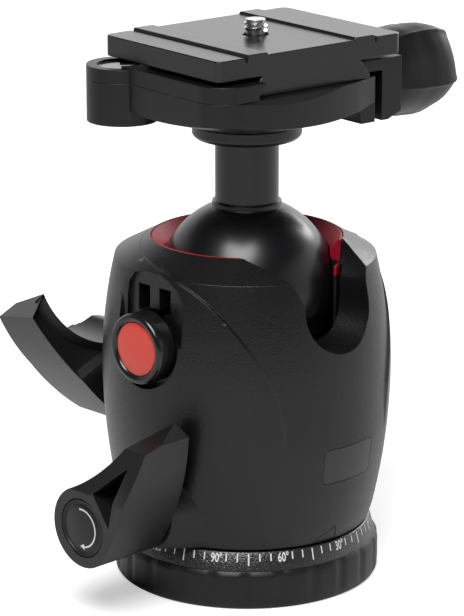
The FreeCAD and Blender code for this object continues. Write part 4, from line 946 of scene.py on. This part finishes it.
# %% [markdown]
# The thread is a small tooth swept along a helix by the same spin as the turned pieces, now with a step
# forward at each turn. A Screw modifier would do it too, but it keeps no closed ends.

# %% The camera screw's thread
THREAD_STEPS = 40
TOOTH_SUNK = 0.1 * MM
TOOTH_TRIM = 0.05 * MM
TOOTH_TIP_FROM = 0.44
TOOTH_TIP_TO = 0.56

turns = (THREAD_TALL - PITCH) / PITCH
low_edge = high[2] - THREAD_TALL
root = core_radius - TOOTH_SUNK
crest = thread_radius - TOOTH_TRIM
outline = [(root, 0), (crest, TOOTH_TIP_FROM), (crest, TOOTH_TIP_TO), (root, 1)]
bm = bmesh.new()
tooth = [bm.verts.new(screw_middle + Vector((radius, 0, low_edge + PITCH * part)))
         for radius, part in outline]
edges = [bm.edges.new(pair) for pair in zip(tooth, tooth[1:] + tooth[:1])]
bmesh.ops.spin(bm, geom=tooth + edges, cent=screw_middle, axis=(0, 0, 1), dvec=(0, 0, PITCH / THREAD_STEPS),
               angle=tau * turns, steps=int(THREAD_STEPS * turns))
bmesh.ops.holes_fill(bm, edges=[edge for edge in bm.edges if edge.is_boundary], sides=4)
bmesh.ops.recalc_face_normals(bm, faces=bm.faces)
finish_piece("screw_thread", bm, "camera_screw", FINISHES["bright_steel"], replaces=False)

# %% [markdown]
# A small open triangle on the barrel's foot points at the degree ring. It is engraved, a dark line in the
# coat, so it is drawn as a fine thread laid on the barrel where rays from outside meet it.

# %% The index mark
INDEX_CORNERS = [(radians(-14), 15.9 * MM), (radians(0), 15.9 * MM), (radians(-2), 19.4 * MM)]
INDEX_LINE = 0.15 * MM
INDEX_STEPS = 12
OUTSIDE = 60 * MM

housing = bmesh.new()
housing.from_mesh(frame["nodes"]["housing"].data)
housing_tree = BVHTree.FromBMesh(housing)
housing.free()


def on_housing(turn, height):
    """The point where a level ray towards the barrel's centre meets the barrel."""
    inwards = Vector((-cos(turn), -sin(turn), 0))
    return housing_tree.ray_cast(Vector((0, 0, height)) - inwards * OUTSIDE, inwards)[0]


route = []
for (turn, height), (next_turn, next_height) in zip(INDEX_CORNERS, INDEX_CORNERS[1:] + INDEX_CORNERS[:1]):
    for step in range(INDEX_STEPS):
        part = step / INDEX_STEPS
        route.append(on_housing(turn + (next_turn - turn) * part, height + (next_height - height) * part))
curve = bpy.data.curves.new("index_line", "CURVE")
curve.dimensions = "3D"
curve.bevel_depth = INDEX_LINE
line = curve.splines.new("POLY")
line.points.add(len(route) - 1)
line.use_cyclic_u = True
for point, place in zip(line.points, route):
    point.co = (*place, 1)
drawn = bpy.data.objects.new("index_line", curve)
bpy.context.scene.collection.objects.link(drawn)
bm = bmesh.new()
bm.from_mesh(bpy.data.meshes.new_from_object(drawn.evaluated_get(bpy.context.evaluated_depsgraph_get())))
bpy.data.objects.remove(drawn)
finish_piece("index_mark", bm, "housing", INK, replaces=False)

# %% The closing lines
bpy.context.scene.view_settings.view_transform = "Standard"
